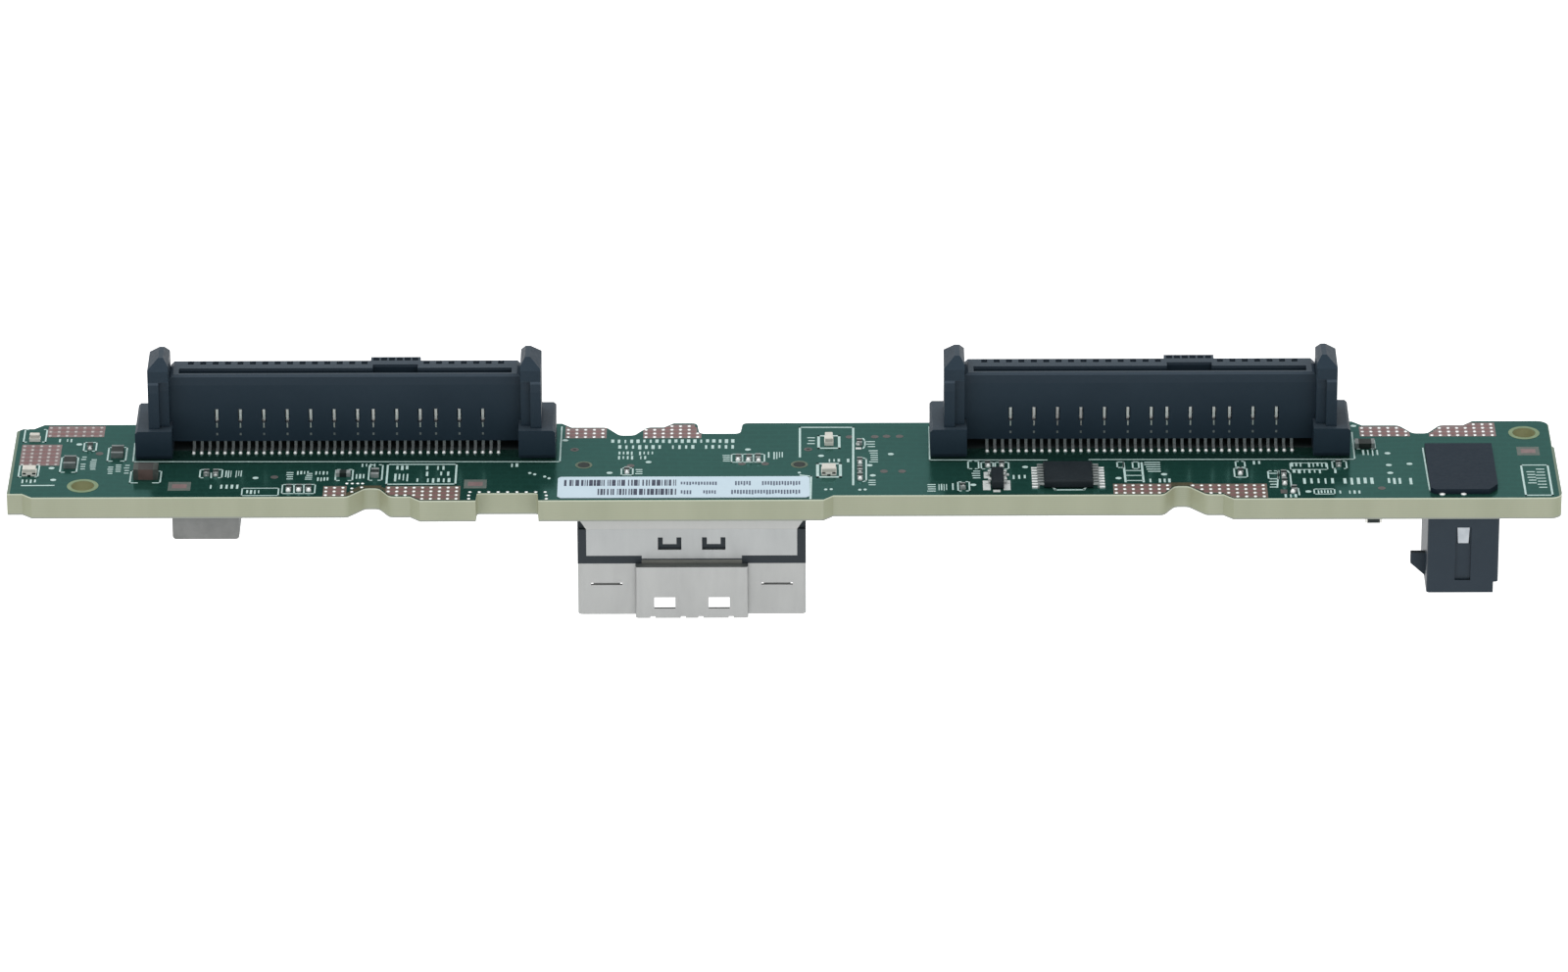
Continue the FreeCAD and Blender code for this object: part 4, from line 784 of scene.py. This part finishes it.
# The dots left of this are worn, and the fields in front of this lie near the front edge
WORN_X = HOLES[0][0] + 3.0
FRONT_FIELD_Y = BOARD_FRONT + 3.0
back_field, front_field, squares, solder, worn = (Builder() for _ in range(5))
for corner_px, columns, rows, pitch, stretch in DOT_FIELDS_PX:
    left, front = spot(*corner_px)
    field = front_field if front < FRONT_FIELD_Y else back_field
    dots = worn if left < WORN_X else solder
    pitch_y = DOT_ROW_PITCH * stretch
    for column in range(round((columns - 1 + 2 * FIELD_MARGIN) * CELLS)):
        for row in range(round((rows - 1 + 2 * FIELD_MARGIN) * CELLS)):
            x = left + (column + 0.5) * pitch / CELLS - FIELD_MARGIN * pitch
            y = front + (row + 0.5) * pitch_y / CELLS - FIELD_MARGIN * pitch_y
            if on_board(x, y, CELL_CLEARANCE):
                field.centred(x, y, pitch / CELLS / 2, pitch_y / CELLS / 2, 0.0, FIELD_TOP)
    for column in range(columns - 1):
        for row in range(rows - 1):
            x, y = left + (column + 0.5) * pitch, front + (row + 0.5) * pitch_y
            if on_board(x, y, SQUARE_CLEARANCE):
                squares.centred(x, y, SQUARE_HALF, SQUARE_HALF, 0.0, SQUARE_TOP)
    for column in range(columns):
        for row in range(rows):
            x, y = left + column * pitch, front + row * pitch_y
            if on_board(x, y, DOT_CLEARANCE):
                dots.dome(x, y, 0.0, *FIELD_DOT, 10, 2)
LONE_SOLDER_DOTS_PX = (
    (354, 493.5), (359.5, 493.5), (365, 493.5), (370, 493.5), (359, 498.5), (369, 497.5), (359, 502),
    (478.2, 505.6), (478.2, 509), (557.4, 505.6), (557.4, 509),
)
NOTCH_DOTS_PX = [(479.5 + 9.6 * k, 502.2) for k in range(9)]
for dot in list(LONE_SOLDER_DOTS_PX) + NOTCH_DOTS_PX:
    x, y = spot(*dot)
    if on_board(x, y, LONE_DOT[1]):
        solder.dome(x, y, 0.0, *LONE_DOT, 10, 2)
back_field.make("copper_fields", COPPER, "board_laminate")
front_field.make("front_copper_fields", FRONT_COPPER, "board_laminate")
worn.make("worn_solder_dots", WORN_DOT, "chip_tin", smooth=True)
squares.make("copper_squares", COPPER_PAD, "board_laminate")

# Brown rims beside two hollows of the front edge, laid as small cells
RIM_CELL, RIM_TOP, RIM_HALF_WIDTH, RIM_CLEARANCE = 0.2, 0.008, 0.5, 0.14
RIMS_PX = (
    ((352.5, 506.5), (358.5, 504.4), (364, 500.8), (370, 497.6), (384.5, 497.4), (390, 500), (395, 503.6)),
    ((1196.5, 494.8), (1214.5, 494.8)),
)


def cells_along(pixels, half_width, builder):
    """Small plates on the board that follow a line of pixels."""
    line = [Vector(spot(*p)) for p in pixels]
    reach = range(-int(half_width / RIM_CELL) - 1, int(half_width / RIM_CELL) + 2)
    done = set()
    for a, b in zip(line, line[1:]):
        parts = max(2, int((b - a).length / RIM_CELL) * 2)
        for k in range(parts + 1):
            x, y = a.lerp(b, k / parts)
            for cell in ((round(x / RIM_CELL) + i, round(y / RIM_CELL) + j) for i in reach for j in reach):
                cell_x, cell_y = cell[0] * RIM_CELL, cell[1] * RIM_CELL
                inside = math.hypot(cell_x - x, cell_y - y) <= half_width
                if inside and cell not in done and on_board(cell_x, cell_y, RIM_CLEARANCE):
                    done.add(cell)
                    builder.centred(cell_x, cell_y, RIM_CELL / 2, RIM_CELL / 2, 0.0, RIM_TOP)


brown = Builder()
for line in RIMS_PX:
    cells_along(line, RIM_HALF_WIDTH, brown)
brown.make("brown_rims", BROWN_RIM, "board_laminate")

# Plated rings on both faces round the fixing holes, and rings and solder round the cable socket's pegs
RING_TOP, RING_OUTER = 0.02, 1.6
PEG_X, PEG_Y = (-20.43, 1.57), BOARD_FRONT + 8.5
PEG_END_RADIUS, PEG_END_TOP = 0.6, 0.015
PEG_RING_INNER, PEG_RING_OUTER = 0.64, 0.87
rings, peg_rings, peg_ends = Builder(), Builder(), Builder()
for x, y in HOLES:
    for low, high in ((0.0, RING_TOP), (BOARD_UNDERSIDE - RING_TOP, BOARD_UNDERSIDE)):
        rings.ring(x, y, HOLE_RADIUS + 0.01, RING_OUTER, low, high)
for x in PEG_X:
    peg_rings.ring(x, PEG_Y, PEG_RING_INNER, PEG_RING_OUTER, 0.0, RING_TOP, 32)
    peg_ends.disc(x, PEG_Y, PEG_END_RADIUS, PEG_END_RADIUS, 0.0, PEG_END_TOP, 20)
rings.make("plated_rings", RING, "contact_alloy")
peg_rings.make("peg_rings", PEG_RING, "contact_alloy")
peg_ends.make("peg_solder", CHIP_BODY, "chip_tin")

# Windows in the mask with a copper mark in each, vias with dark discs of painted shade in the open centres
# of two, and one bare brown patch
WINDOWS_PX = ((183.0, 496.4), (485.0, 494.0), (1559.2, 460.4))
VIAS_PX = (
    (101.6, 463), (280, 487), (866.8, 446), (892.6, 445.8), (904.6, 445.4), (917.8, 445.4), (902, 481),
    (920.4, 481), (1410, 498.2), (643.5, 475.4), (757, 473.2), (780.8, 473.4),
)
DARK_VIAS_PX = ((586.4, 459.0), (824.6, 458.6))
BROWN_PATCH_PX = (1307.0, 499.6, 1313.4, 503.6)
WINDOW_HALVES, MARK_HALVES = (1.15, 1.05), (0.75, 0.5)
VIA_TOP, WINDOW_TOP, MARK_TOP, OPEN_VIA_TOP = 0.012, 0.012, 0.02, 0.014
VIA_RADIUS, OPEN_VIA_INNER, OPEN_VIA_OUTER = 0.4, 0.2, 0.44
windows, marks, vias, dark = (Builder() for _ in range(4))
for place in WINDOWS_PX:
    windows.centred(*spot(*place), *WINDOW_HALVES, 0.0, WINDOW_TOP)
    marks.centred(*spot(*place), *MARK_HALVES, 0.0, MARK_TOP)
for place in VIAS_PX:
    vias.disc(*spot(*place), VIA_RADIUS, VIA_RADIUS, 0.0, VIA_TOP, 16)
for place in DARK_VIAS_PX:
    vias.ring(*spot(*place), OPEN_VIA_INNER, OPEN_VIA_OUTER, 0.0, OPEN_VIA_TOP, 20)
    # Painted shade: a dark disc in the via's open centre
    dark.disc(*spot(*place), OPEN_VIA_INNER, OPEN_VIA_INNER, 0.0, 0.01, 14)
low, high = pixel_box(*BROWN_PATCH_PX)
vias.plate(*low, *high, 0.0, VIA_TOP)
windows.make("mask_windows", FIDUCIAL, "board_laminate")
marks.make("copper_marks", COPPER, "board_laminate")
vias.make("vias", VIA_COPPER, "board_laminate")
dark.make("via_centres", CHIP_BODY, "board_laminate")

# Solder at the toes and heels of the leads, round the locks and pins, and at the near ends of the chips:
# half width, half depth and height
TOE_SOLDER, HEEL_SOLDER, LOCK_SOLDER = (0.2, 0.26, 0.24), (0.22, 0.26, 0.22), (1.25, 1.25, 0.5)
PIN_SOLDER, COVER_SOLDER, END_SOLDER = (0.85, 0.85, 0.2), (0.32, 0.34, 0.14), (0.27, 0.24, 0.43)
FRONT_LEADS = [CONTACT_PITCH * (k - 19.5) for k in range(40)]
REAR_WIDE = [1.905 - 1.27 * k for k in range(15)] + [8.255 + 1.27 * k for k in range(7)]
REAR_NARROW = [5.08 + CONTACT_PITCH * (k - 2.5) for k in range(6)]
TOE_Y = SOCKET_FRONT - 1.06
WIDE_HEEL_Y, NARROW_HEEL_Y = SOCKET_FRONT + 4.55, SOCKET_FRONT + 5.45
LOCK_OFFSET, LOCK_Y = 19.6, SOCKET_FRONT + 0.925
HEADER_PIN_X = (67.7, 70.7)
HEADER_PIN_Y = [BOARD_FRONT + 8.275 + step for step in (-1.5, 1.5)]
COVER_DOTS_PX = ((1471.8, 504.4), (1493.6, 504.2))
for centre in SOCKETS:
    for lead in FRONT_LEADS:
        solder.dome(centre + lead, TOE_Y, 0.0, *TOE_SOLDER, 10, 3)
    for leads, heel_y in ((REAR_WIDE, WIDE_HEEL_Y), (REAR_NARROW, NARROW_HEEL_Y)):
        for lead in leads:
            solder.dome(centre + lead, heel_y, 0.0, *HEEL_SOLDER, 8, 2)
    for x in (centre - LOCK_OFFSET, centre + LOCK_OFFSET):
        solder.dome(x, LOCK_Y, BOARD_UNDERSIDE, *LOCK_SOLDER, 18, 3, True)
for x in HEADER_PIN_X:
    for y in HEADER_PIN_Y:
        solder.dome(x, y, 0.0, *PIN_SOLDER, 16, 2)
for dot in COVER_DOTS_PX:
    solder.dome(*spot(*dot), 0.0, *COVER_SOLDER, 12, 3)
# Pads: two opposite corners of each
PADS_PX = (
    (1003.2, 490.8, 1010.4, 500.4), (1024.2, 490.6, 1030.8, 500.4), (1013.6, 500.2, 1020.8, 502.4),
    (1004, 482, 1010, 488.4), (1020.6, 481, 1026.6, 488), (873, 457, 879, 458.8), (1392, 452, 1394, 453.4),
)
PAD_TOP = 0.04
pads = Builder()
for corners in PADS_PX:
    low, high = pixel_box(*corners)
    pads.plate(*low, *high, 0.0, PAD_TOP)
pads.make("solder_pads", PAD_SOLDER, "chip_tin")
# The near ends of the chips, seen at this height
END_Z = 0.2
END_DOTS_PX = (
    (210.2, 483.6), (220, 483.8), (294, 500), (304.6, 499.8), (314.9, 499.9), (382.8, 484.9), (753, 469),
    (763.5, 469.3), (774, 469.8), (639.7, 481.7), (875.8, 452.5), (877.7, 471.8), (877.5, 480),
    (877.7, 488), (982.9, 496.9), (1008.4, 475), (1022.2, 474.8), (1265.6, 482.8), (1309.9, 484.7),
    (1311, 493), (1319.3, 501.2), (1366.3, 474), (91.9, 457),
)
for dot in END_DOTS_PX:
    solder.dome(*spot(*dot, END_Z), 0.0, *END_SOLDER, 12, 3)
solder.make("solder_joints", SOLDER, "chip_tin", smooth=True)

# The four medium chips: the one nearest the lamp is a fine chip. Sizes are half width, half length, the
# length of an end, and height. The last value says whether the chip lies along Y
FINE_CHIP_PX = (91.9, 455.2)
FINE_CHIP, MEDIUM_CHIP = (0.275, 0.55, 0.2, 0.4), (0.625, 1.0, 0.35, 0.6)
MEDIUM_CHIPS = (
    (spot(*FINE_CHIP_PX, END_Z), FINE_CHIP, True),
    ((-72.903, -0.375), MEDIUM_CHIP, True),
    ((-68.194, 2.125), MEDIUM_CHIP, True),
    ((59.501, 3.225), MEDIUM_CHIP, False),
)
BODY_INSET = 0.02


def chip_block(builder, place, along_y, near, far, half_width, low, high):
    """A block from near to far along a chip's length."""
    x, y = place
    if along_y:
        builder.plate(x - half_width, y + near, x + half_width, y + far, low, high)
    else:
        builder.plate(x + near, y - half_width, x + far, y + half_width, low, high)


chip_bodies, chip_ends = Builder(), Builder()
for place, (half_width, half_length, end, height), along_y in MEDIUM_CHIPS:
    inner = half_length - end
    chip_block(chip_ends, place, along_y, -half_length, -inner, half_width, 0.0, height)
    chip_block(chip_ends, place, along_y, inner, half_length, half_width, 0.0, height)
    slim, top = half_width - BODY_INSET, height - BODY_INSET
    chip_block(chip_bodies, place, along_y, -inner, inner, slim, BODY_INSET, top)
chip_bodies.stand_in("medium_chip_bodies", CHIP_BODY, "chip_ceramic")
chip_ends.stand_in("medium_chip_ends", DULL_CHIP_END, "chip_tin")

# The lamps: left and right side and front foot in the picture, length, and whether the front has notches,
# whose shade is painted as dark plates
LAMPS_PX = (
    (30, 41.2, 451, 0.67, False), (22.3, 37, 486.1, 1.1, True), (841.2, 850.4, 454.9, 1.76, False),
    (838.1, 853.5, 485.4, 1.4, True),
)
BASE_HEIGHT, LAMP_HEIGHT = 0.35, 0.8
LENS_INSET, LENS_BEVEL = 0.06, 0.08
NOTCH_HALF, NOTCH_HEIGHT, SIDE_NOTCH_Z = 0.17, 0.15, 0.2
lamp_bases, lamp_lenses, lamp_notch_shade = Builder(), Builder(), Builder()
for left_px, right_px, foot_px, length, notched in LAMPS_PX:
    x0, y0 = spot(left_px, foot_px)
    x1, y1 = spot(right_px, foot_px)[0], y0 + length
    lamp_bases.plate(x0, y0, x1, y1, 0.0, BASE_HEIGHT)
    lamp_lenses.bevelled(x0 + LENS_INSET, y0 + LENS_INSET, x1 - LENS_INSET, y1 - LENS_INSET,
                         BASE_HEIGHT, LAMP_HEIGHT, LENS_BEVEL)
    if notched:
        middle, third = (x0 + x1) / 2, (x1 - x0) / 3
        for x, z in ((middle - third, SIDE_NOTCH_Z), (middle, 0.0), (middle + third, SIDE_NOTCH_Z)):
            lamp_notch_shade.plate(x - NOTCH_HALF, y0 - 0.01, x + NOTCH_HALF, y0 + 0.05, z, z + NOTCH_HEIGHT)
# Painted shade: dark plates that stand in for the shaded notches
lamp_notch_shade.make("lamp_notch_shade", CHIP_BODY, "lamp_base")
lamp_bases.stand_in("status_lamp_bases", LAMP_BASE, "lamp_base")
lamp_lenses.stand_in("status_lamp_lenses", LAMP_LENS, "lamp_lens")

# The sixteen-lead chip, lower than its node
CHIP_X, CHIP_FRONT = SOCKETS[1] - 7.5, BOARD_FRONT + 2.55
CHIP_HALF_WIDTH, CHIP_LENGTH = 2.5, 4.8
CHIP_LIFT, CHIP_HEIGHT, CHIP_BEVEL = 0.12, 0.9, 0.15
LEAD_WIDTH, LEAD_SHEET, LEAD_PITCH = 0.26, 0.16, 0.65
LEAD_REACH, LEAD_BEND = 1.2, 0.54
SHOULDER_Z = CHIP_HEIGHT / 2 + LEAD_SHEET / 2
shown_chip = Builder()
shown_chip.bevelled(CHIP_X - CHIP_HALF_WIDTH, CHIP_FRONT, CHIP_X + CHIP_HALF_WIDTH, CHIP_FRONT + CHIP_LENGTH,
                    CHIP_LIFT, CHIP_HEIGHT, CHIP_BEVEL)
shown_chip.stand_in("control_chip", CHIP_PLASTIC, "chip_plastic")
chip_feet, chip_shoulders = Builder(), Builder()
for k in range(8):
    y0 = CHIP_FRONT + CHIP_LENGTH / 2 + LEAD_PITCH * (k - 3.5) - LEAD_WIDTH / 2
    for side in (-1, 1):
        root = CHIP_X + side * CHIP_HALF_WIDTH
        bend, toe = root + side * LEAD_BEND, root + side * LEAD_REACH
        inner, outer = bend - side * LEAD_SHEET / 2, bend + side * LEAD_SHEET / 2
        for builder, ends, low, high in (
            (chip_shoulders, (root, outer), SHOULDER_Z - LEAD_SHEET, SHOULDER_Z),
            (chip_shoulders, (inner, outer), 0.0, SHOULDER_Z - LEAD_SHEET),
            (chip_feet, (bend, toe), 0.0, LEAD_SHEET),
        ):
            builder.plate(min(ends), y0, max(ends), y0 + LEAD_WIDTH, low, high)
chip_shoulders.stand_in("control_chip_leads", CHIP_END, "chip_tin")
chip_feet.make("control_chip_feet", SOLDER, "chip_tin")

# The transistor's body, which reaches farther to the front than its node. Its heights are its underside, its
# top and its bevel
TRANSISTOR_LEFT, TRANSISTOR_RIGHT = SOCKETS[1] - 15.32, SOCKETS[1] - 14.08
TRANSISTOR_FRONT, TRANSISTOR_BACK = BOARD_FRONT + 2.35, BOARD_FRONT + 5.9
TRANSISTOR_HEIGHTS = (0.12, 0.95, 0.12)
shown_transistor = Builder()
shown_transistor.bevelled(TRANSISTOR_LEFT, TRANSISTOR_FRONT, TRANSISTOR_RIGHT, TRANSISTOR_BACK,
                          *TRANSISTOR_HEIGHTS)
shown_transistor.stand_in("transistor_body", CHIP_PLASTIC, "chip_plastic")

# The header with a slimmer latch: its back is brought forward, it juts out farther and starts lower.
# The latch's points lie between LATCH_LOW and LATCH_HIGH, and those of its upper edge above LATCH_TOP_LOW
LATCH_DEPTH = 1.2
LATCH_BACK, LATCH_SHOWN_BACK = BOARD_FRONT + 10.275, BOARD_FRONT + 6.9
LATCH_LOW, LATCH_TOP_LOW, LATCH_HIGH = -11.95, -8.95, -8.7
LATCH_JUT, LATCH_DROP = 0.3, 0.25
NEAR = 0.05
header_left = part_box("power_header_housing")[0].x / MM + LATCH_DEPTH
header_name = "power_header_housing_shown"
header_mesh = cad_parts["power_header_housing"].data.copy()
header_mesh.name = header_name
moved = 0
for vertex in header_mesh.vertices:
    x, y, z = (value / MM for value in vertex.co)
    on_latch = x < header_left + NEAR
    if on_latch and abs(y - LATCH_BACK) < NEAR and LATCH_LOW < z < LATCH_HIGH:
        vertex.co.y = LATCH_SHOWN_BACK * MM
        moved += 1
    if x < header_left - LATCH_DEPTH / 2 and LATCH_LOW < z < LATCH_HIGH:
        vertex.co.x -= LATCH_JUT * MM
    if on_latch and LATCH_TOP_LOW < z < LATCH_HIGH:
        vertex.co.z -= LATCH_DROP * MM
assert moved >= 6
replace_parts(placed(header_name, header_mesh), "power_header_housing")

# Contacts that show through the narrow lower ends of the openings in the front walls: half width, and the
# heights of the lower and upper end
OPENING_STEPS = (-13.2, -10.8, -8.4, -6.0, -3.6, -1.2, 1.2, 2.8, 5.2, 7.6, 9.2, 11.6, 14.0)
TAIL, SPECK = (0.07, 2.45, 2.98), (0.1, 1.6, 1.86)
tails, specks = Builder(), Builder()
for centre in SOCKETS:
    for step in OPENING_STEPS:
        for builder, (half, low, high) in ((tails, TAIL), (specks, SPECK)):
            x0, x1 = centre + step - half, centre + step + half
            builder.plate(x0, SOCKET_FRONT - 0.01, x1, SOCKET_FRONT + 0.02, low, high)
tails.make("contact_tails", CONTACT_METAL, "contact_alloy")
specks.make("contact_specks", DULL_CHIP_END, "contact_alloy")

# The folded rim of the cable socket's raised front, and the sheet behind its two slits
SHELL_TOP = -9.04
RAISED_Y, SIDE_Y = BOARD_FRONT + 3.15, BOARD_FRONT + 4.1
RIM_LEFT, RIM_RIGHT = -14.55, -4.31
RIM_BASE, RIM_LEDGE_TOP, RIM_LIP_TOP = SHELL_TOP - 0.18, SHELL_TOP - 0.04, SHELL_TOP + 0.42
SLITS_X = ((-19.5, -16.76), (-2.1, 0.64))
SLIT_LOW, SLIT_HIGH = -11.85, -11.0
rim = Builder()
rim.plate(RIM_LEFT, RAISED_Y + 0.3, RIM_RIGHT, SIDE_Y - 0.02, RIM_BASE, RIM_LEDGE_TOP)
rim.plate(RIM_LEFT, SIDE_Y - 0.05, RIM_RIGHT, SIDE_Y, RIM_BASE, RIM_LIP_TOP)
rim.make("folded_rim", DULL_STEEL, "shell_steel")
backing = Builder()
for x0, x1 in SLITS_X:
    backing.plate(x0, SIDE_Y + 0.31, x1, SIDE_Y + 0.36, SLIT_LOW, SLIT_HIGH)
backing.make("slit_backing", SHELL_METAL, "shell_steel")

# The label's front strip, dark bars in two rows, and grey bars where text would stand
LABEL_TOP, LABEL_BAR_TOP = 0.08, 0.09
STRIP_DEPTH, STRIP_OVERLAP, STRIP_CORNER = 0.32, 0.6, 0.35
BAR_FIELDS_PX = ((575.5, 489.6, 690.0, 496.0), (609.6, 498.8, 690.0, 505.2))
TEXT_FIELDS_PX = (
    (694, 491.6, 732, 495.2, 13), (749.5, 491, 766.5, 495.6, 6), (777, 491, 817, 495.6, 14),
    (694, 500.4, 706, 504.4, 4), (717, 500.4, 731, 504.4, 5), (745.5, 499.8, 817, 504.6, 24),
)
label_low, label_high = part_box("paper_label")
label_left, label_right = label_low.x / MM, label_high.x / MM
label_front = label_low.y / MM
strip_front = label_front - STRIP_DEPTH
strip = Builder()
strip.prism(
    [
        (label_left + STRIP_CORNER, strip_front), (label_right - STRIP_CORNER, strip_front),
        (label_right, label_front + 0.03), (label_right, label_front + STRIP_OVERLAP),
        (label_left, label_front + STRIP_OVERLAP), (label_left, label_front + 0.03),
    ],
    0.0, LABEL_TOP - 0.001,
)
strip.make("label_front_margin", LABEL, "label_paper")
bars, grey_bars = Builder(), Builder()
for corners in BAR_FIELDS_PX:
    low, high = pixel_box(*corners, LABEL_TOP)
    x = low[0]
    while x < high[0]:
        width = random.choice((0.09, 0.12, 0.16, 0.24, 0.38))
        bars.plate(x, low[1], min(x + width, high[0]), high[1], LABEL_TOP, LABEL_BAR_TOP)
        x += width + random.choice((0.08, 0.12, 0.12, 0.2, 0.3))
for *corners, count in TEXT_FIELDS_PX:
    low, high = pixel_box(*corners, LABEL_TOP)
    step = (high[0] - low[0]) / count
    for k in range(count):
        x = low[0] + (k + 0.5) * step
        cut = random.uniform(0.0, 0.25) * (high[1] - low[1])
        grey_bars.plate(x - step * 0.3, low[1] + cut, x + step * 0.3, high[1], LABEL_TOP, LABEL_BAR_TOP)
bars.make("label_bars", LABEL_INK, "label_paper")
grey_bars.make("label_text_bars", LABEL_TEXT, "label_paper")


# Floor, light and camera
def stage_surface(name, colour, glow):
    values = {"Base Color": (*colour, 1), "Roughness": 0.9, "Specular IOR Level": 0.1}
    return new_material(name, values | {"Emission Color": (1, 1, 1, 1), "Emission Strength": glow})[0]


FLOOR_HALF = 6.0
FLOOR_SIGNS = ((-1, -1), (1, -1), (1, 1), (-1, 1))
floor_mesh = bpy.data.meshes.new("pale_floor")
floor_corners = [(a * FLOOR_HALF, b * FLOOR_HALF, FLOOR_Z) for a, b in FLOOR_SIGNS]
floor_mesh.from_pydata(floor_corners, [], [(0, 1, 2, 3)])
floor_mesh.materials.append(stage_surface("pale_floor_paint", (0.2, 0.2, 0.2), 1.3))
floor = bpy.data.objects.new("pale_floor", floor_mesh)
bpy.context.scene.collection.objects.link(floor)

world = bpy.data.worlds.new("studio")
bpy.context.scene.world = world
world.use_nodes = True
world.node_tree.nodes["Background"].inputs["Color"].default_value = (1, 1, 1, 1)
world.node_tree.nodes["Background"].inputs["Strength"].default_value = 0.6


def softbox(name, place, target, size, power):
    light = bpy.data.lights.new(name, "AREA")
    light.shape = "RECTANGLE"
    light.size, light.size_y = size
    light.energy = power
    lamp = bpy.data.objects.new(name, light)
    lamp.location = place
    lamp.rotation_euler = (Vector(target) - Vector(place)).to_track_quat("-Z", "Y").to_euler()
    bpy.context.scene.collection.objects.link(lamp)


softbox("top_softbox", (-0.15, 0.15, 0.9), (0, 0, 0), (1.2, 0.8), 8.0)
softbox("front_softbox", (0.35, -1.1, 0.55), (0, 0, 0), (0.9, 0.6), 1.5)

camera = bpy.data.objects.new("camera", bpy.data.cameras.new("camera"))
camera.data.lens = LENS
camera.data.sensor_width = SENSOR
camera.data.clip_start, camera.data.clip_end = 0.05, 30.0
back = Vector((0, -math.cos(ELEVATION), math.sin(ELEVATION)))
tilted = (-back).to_track_quat("-Z", "Y").to_matrix().to_4x4()
tilted.translation = Vector((0, AIM_Y * MM, 0)) + back * DISTANCE * MM
camera.matrix_world = tilted @ Matrix.Rotation(-ROLL, 4, "Z")
bpy.context.scene.collection.objects.link(camera)
bpy.context.scene.camera = camera
bpy.context.scene.view_settings.view_transform = "Standard"
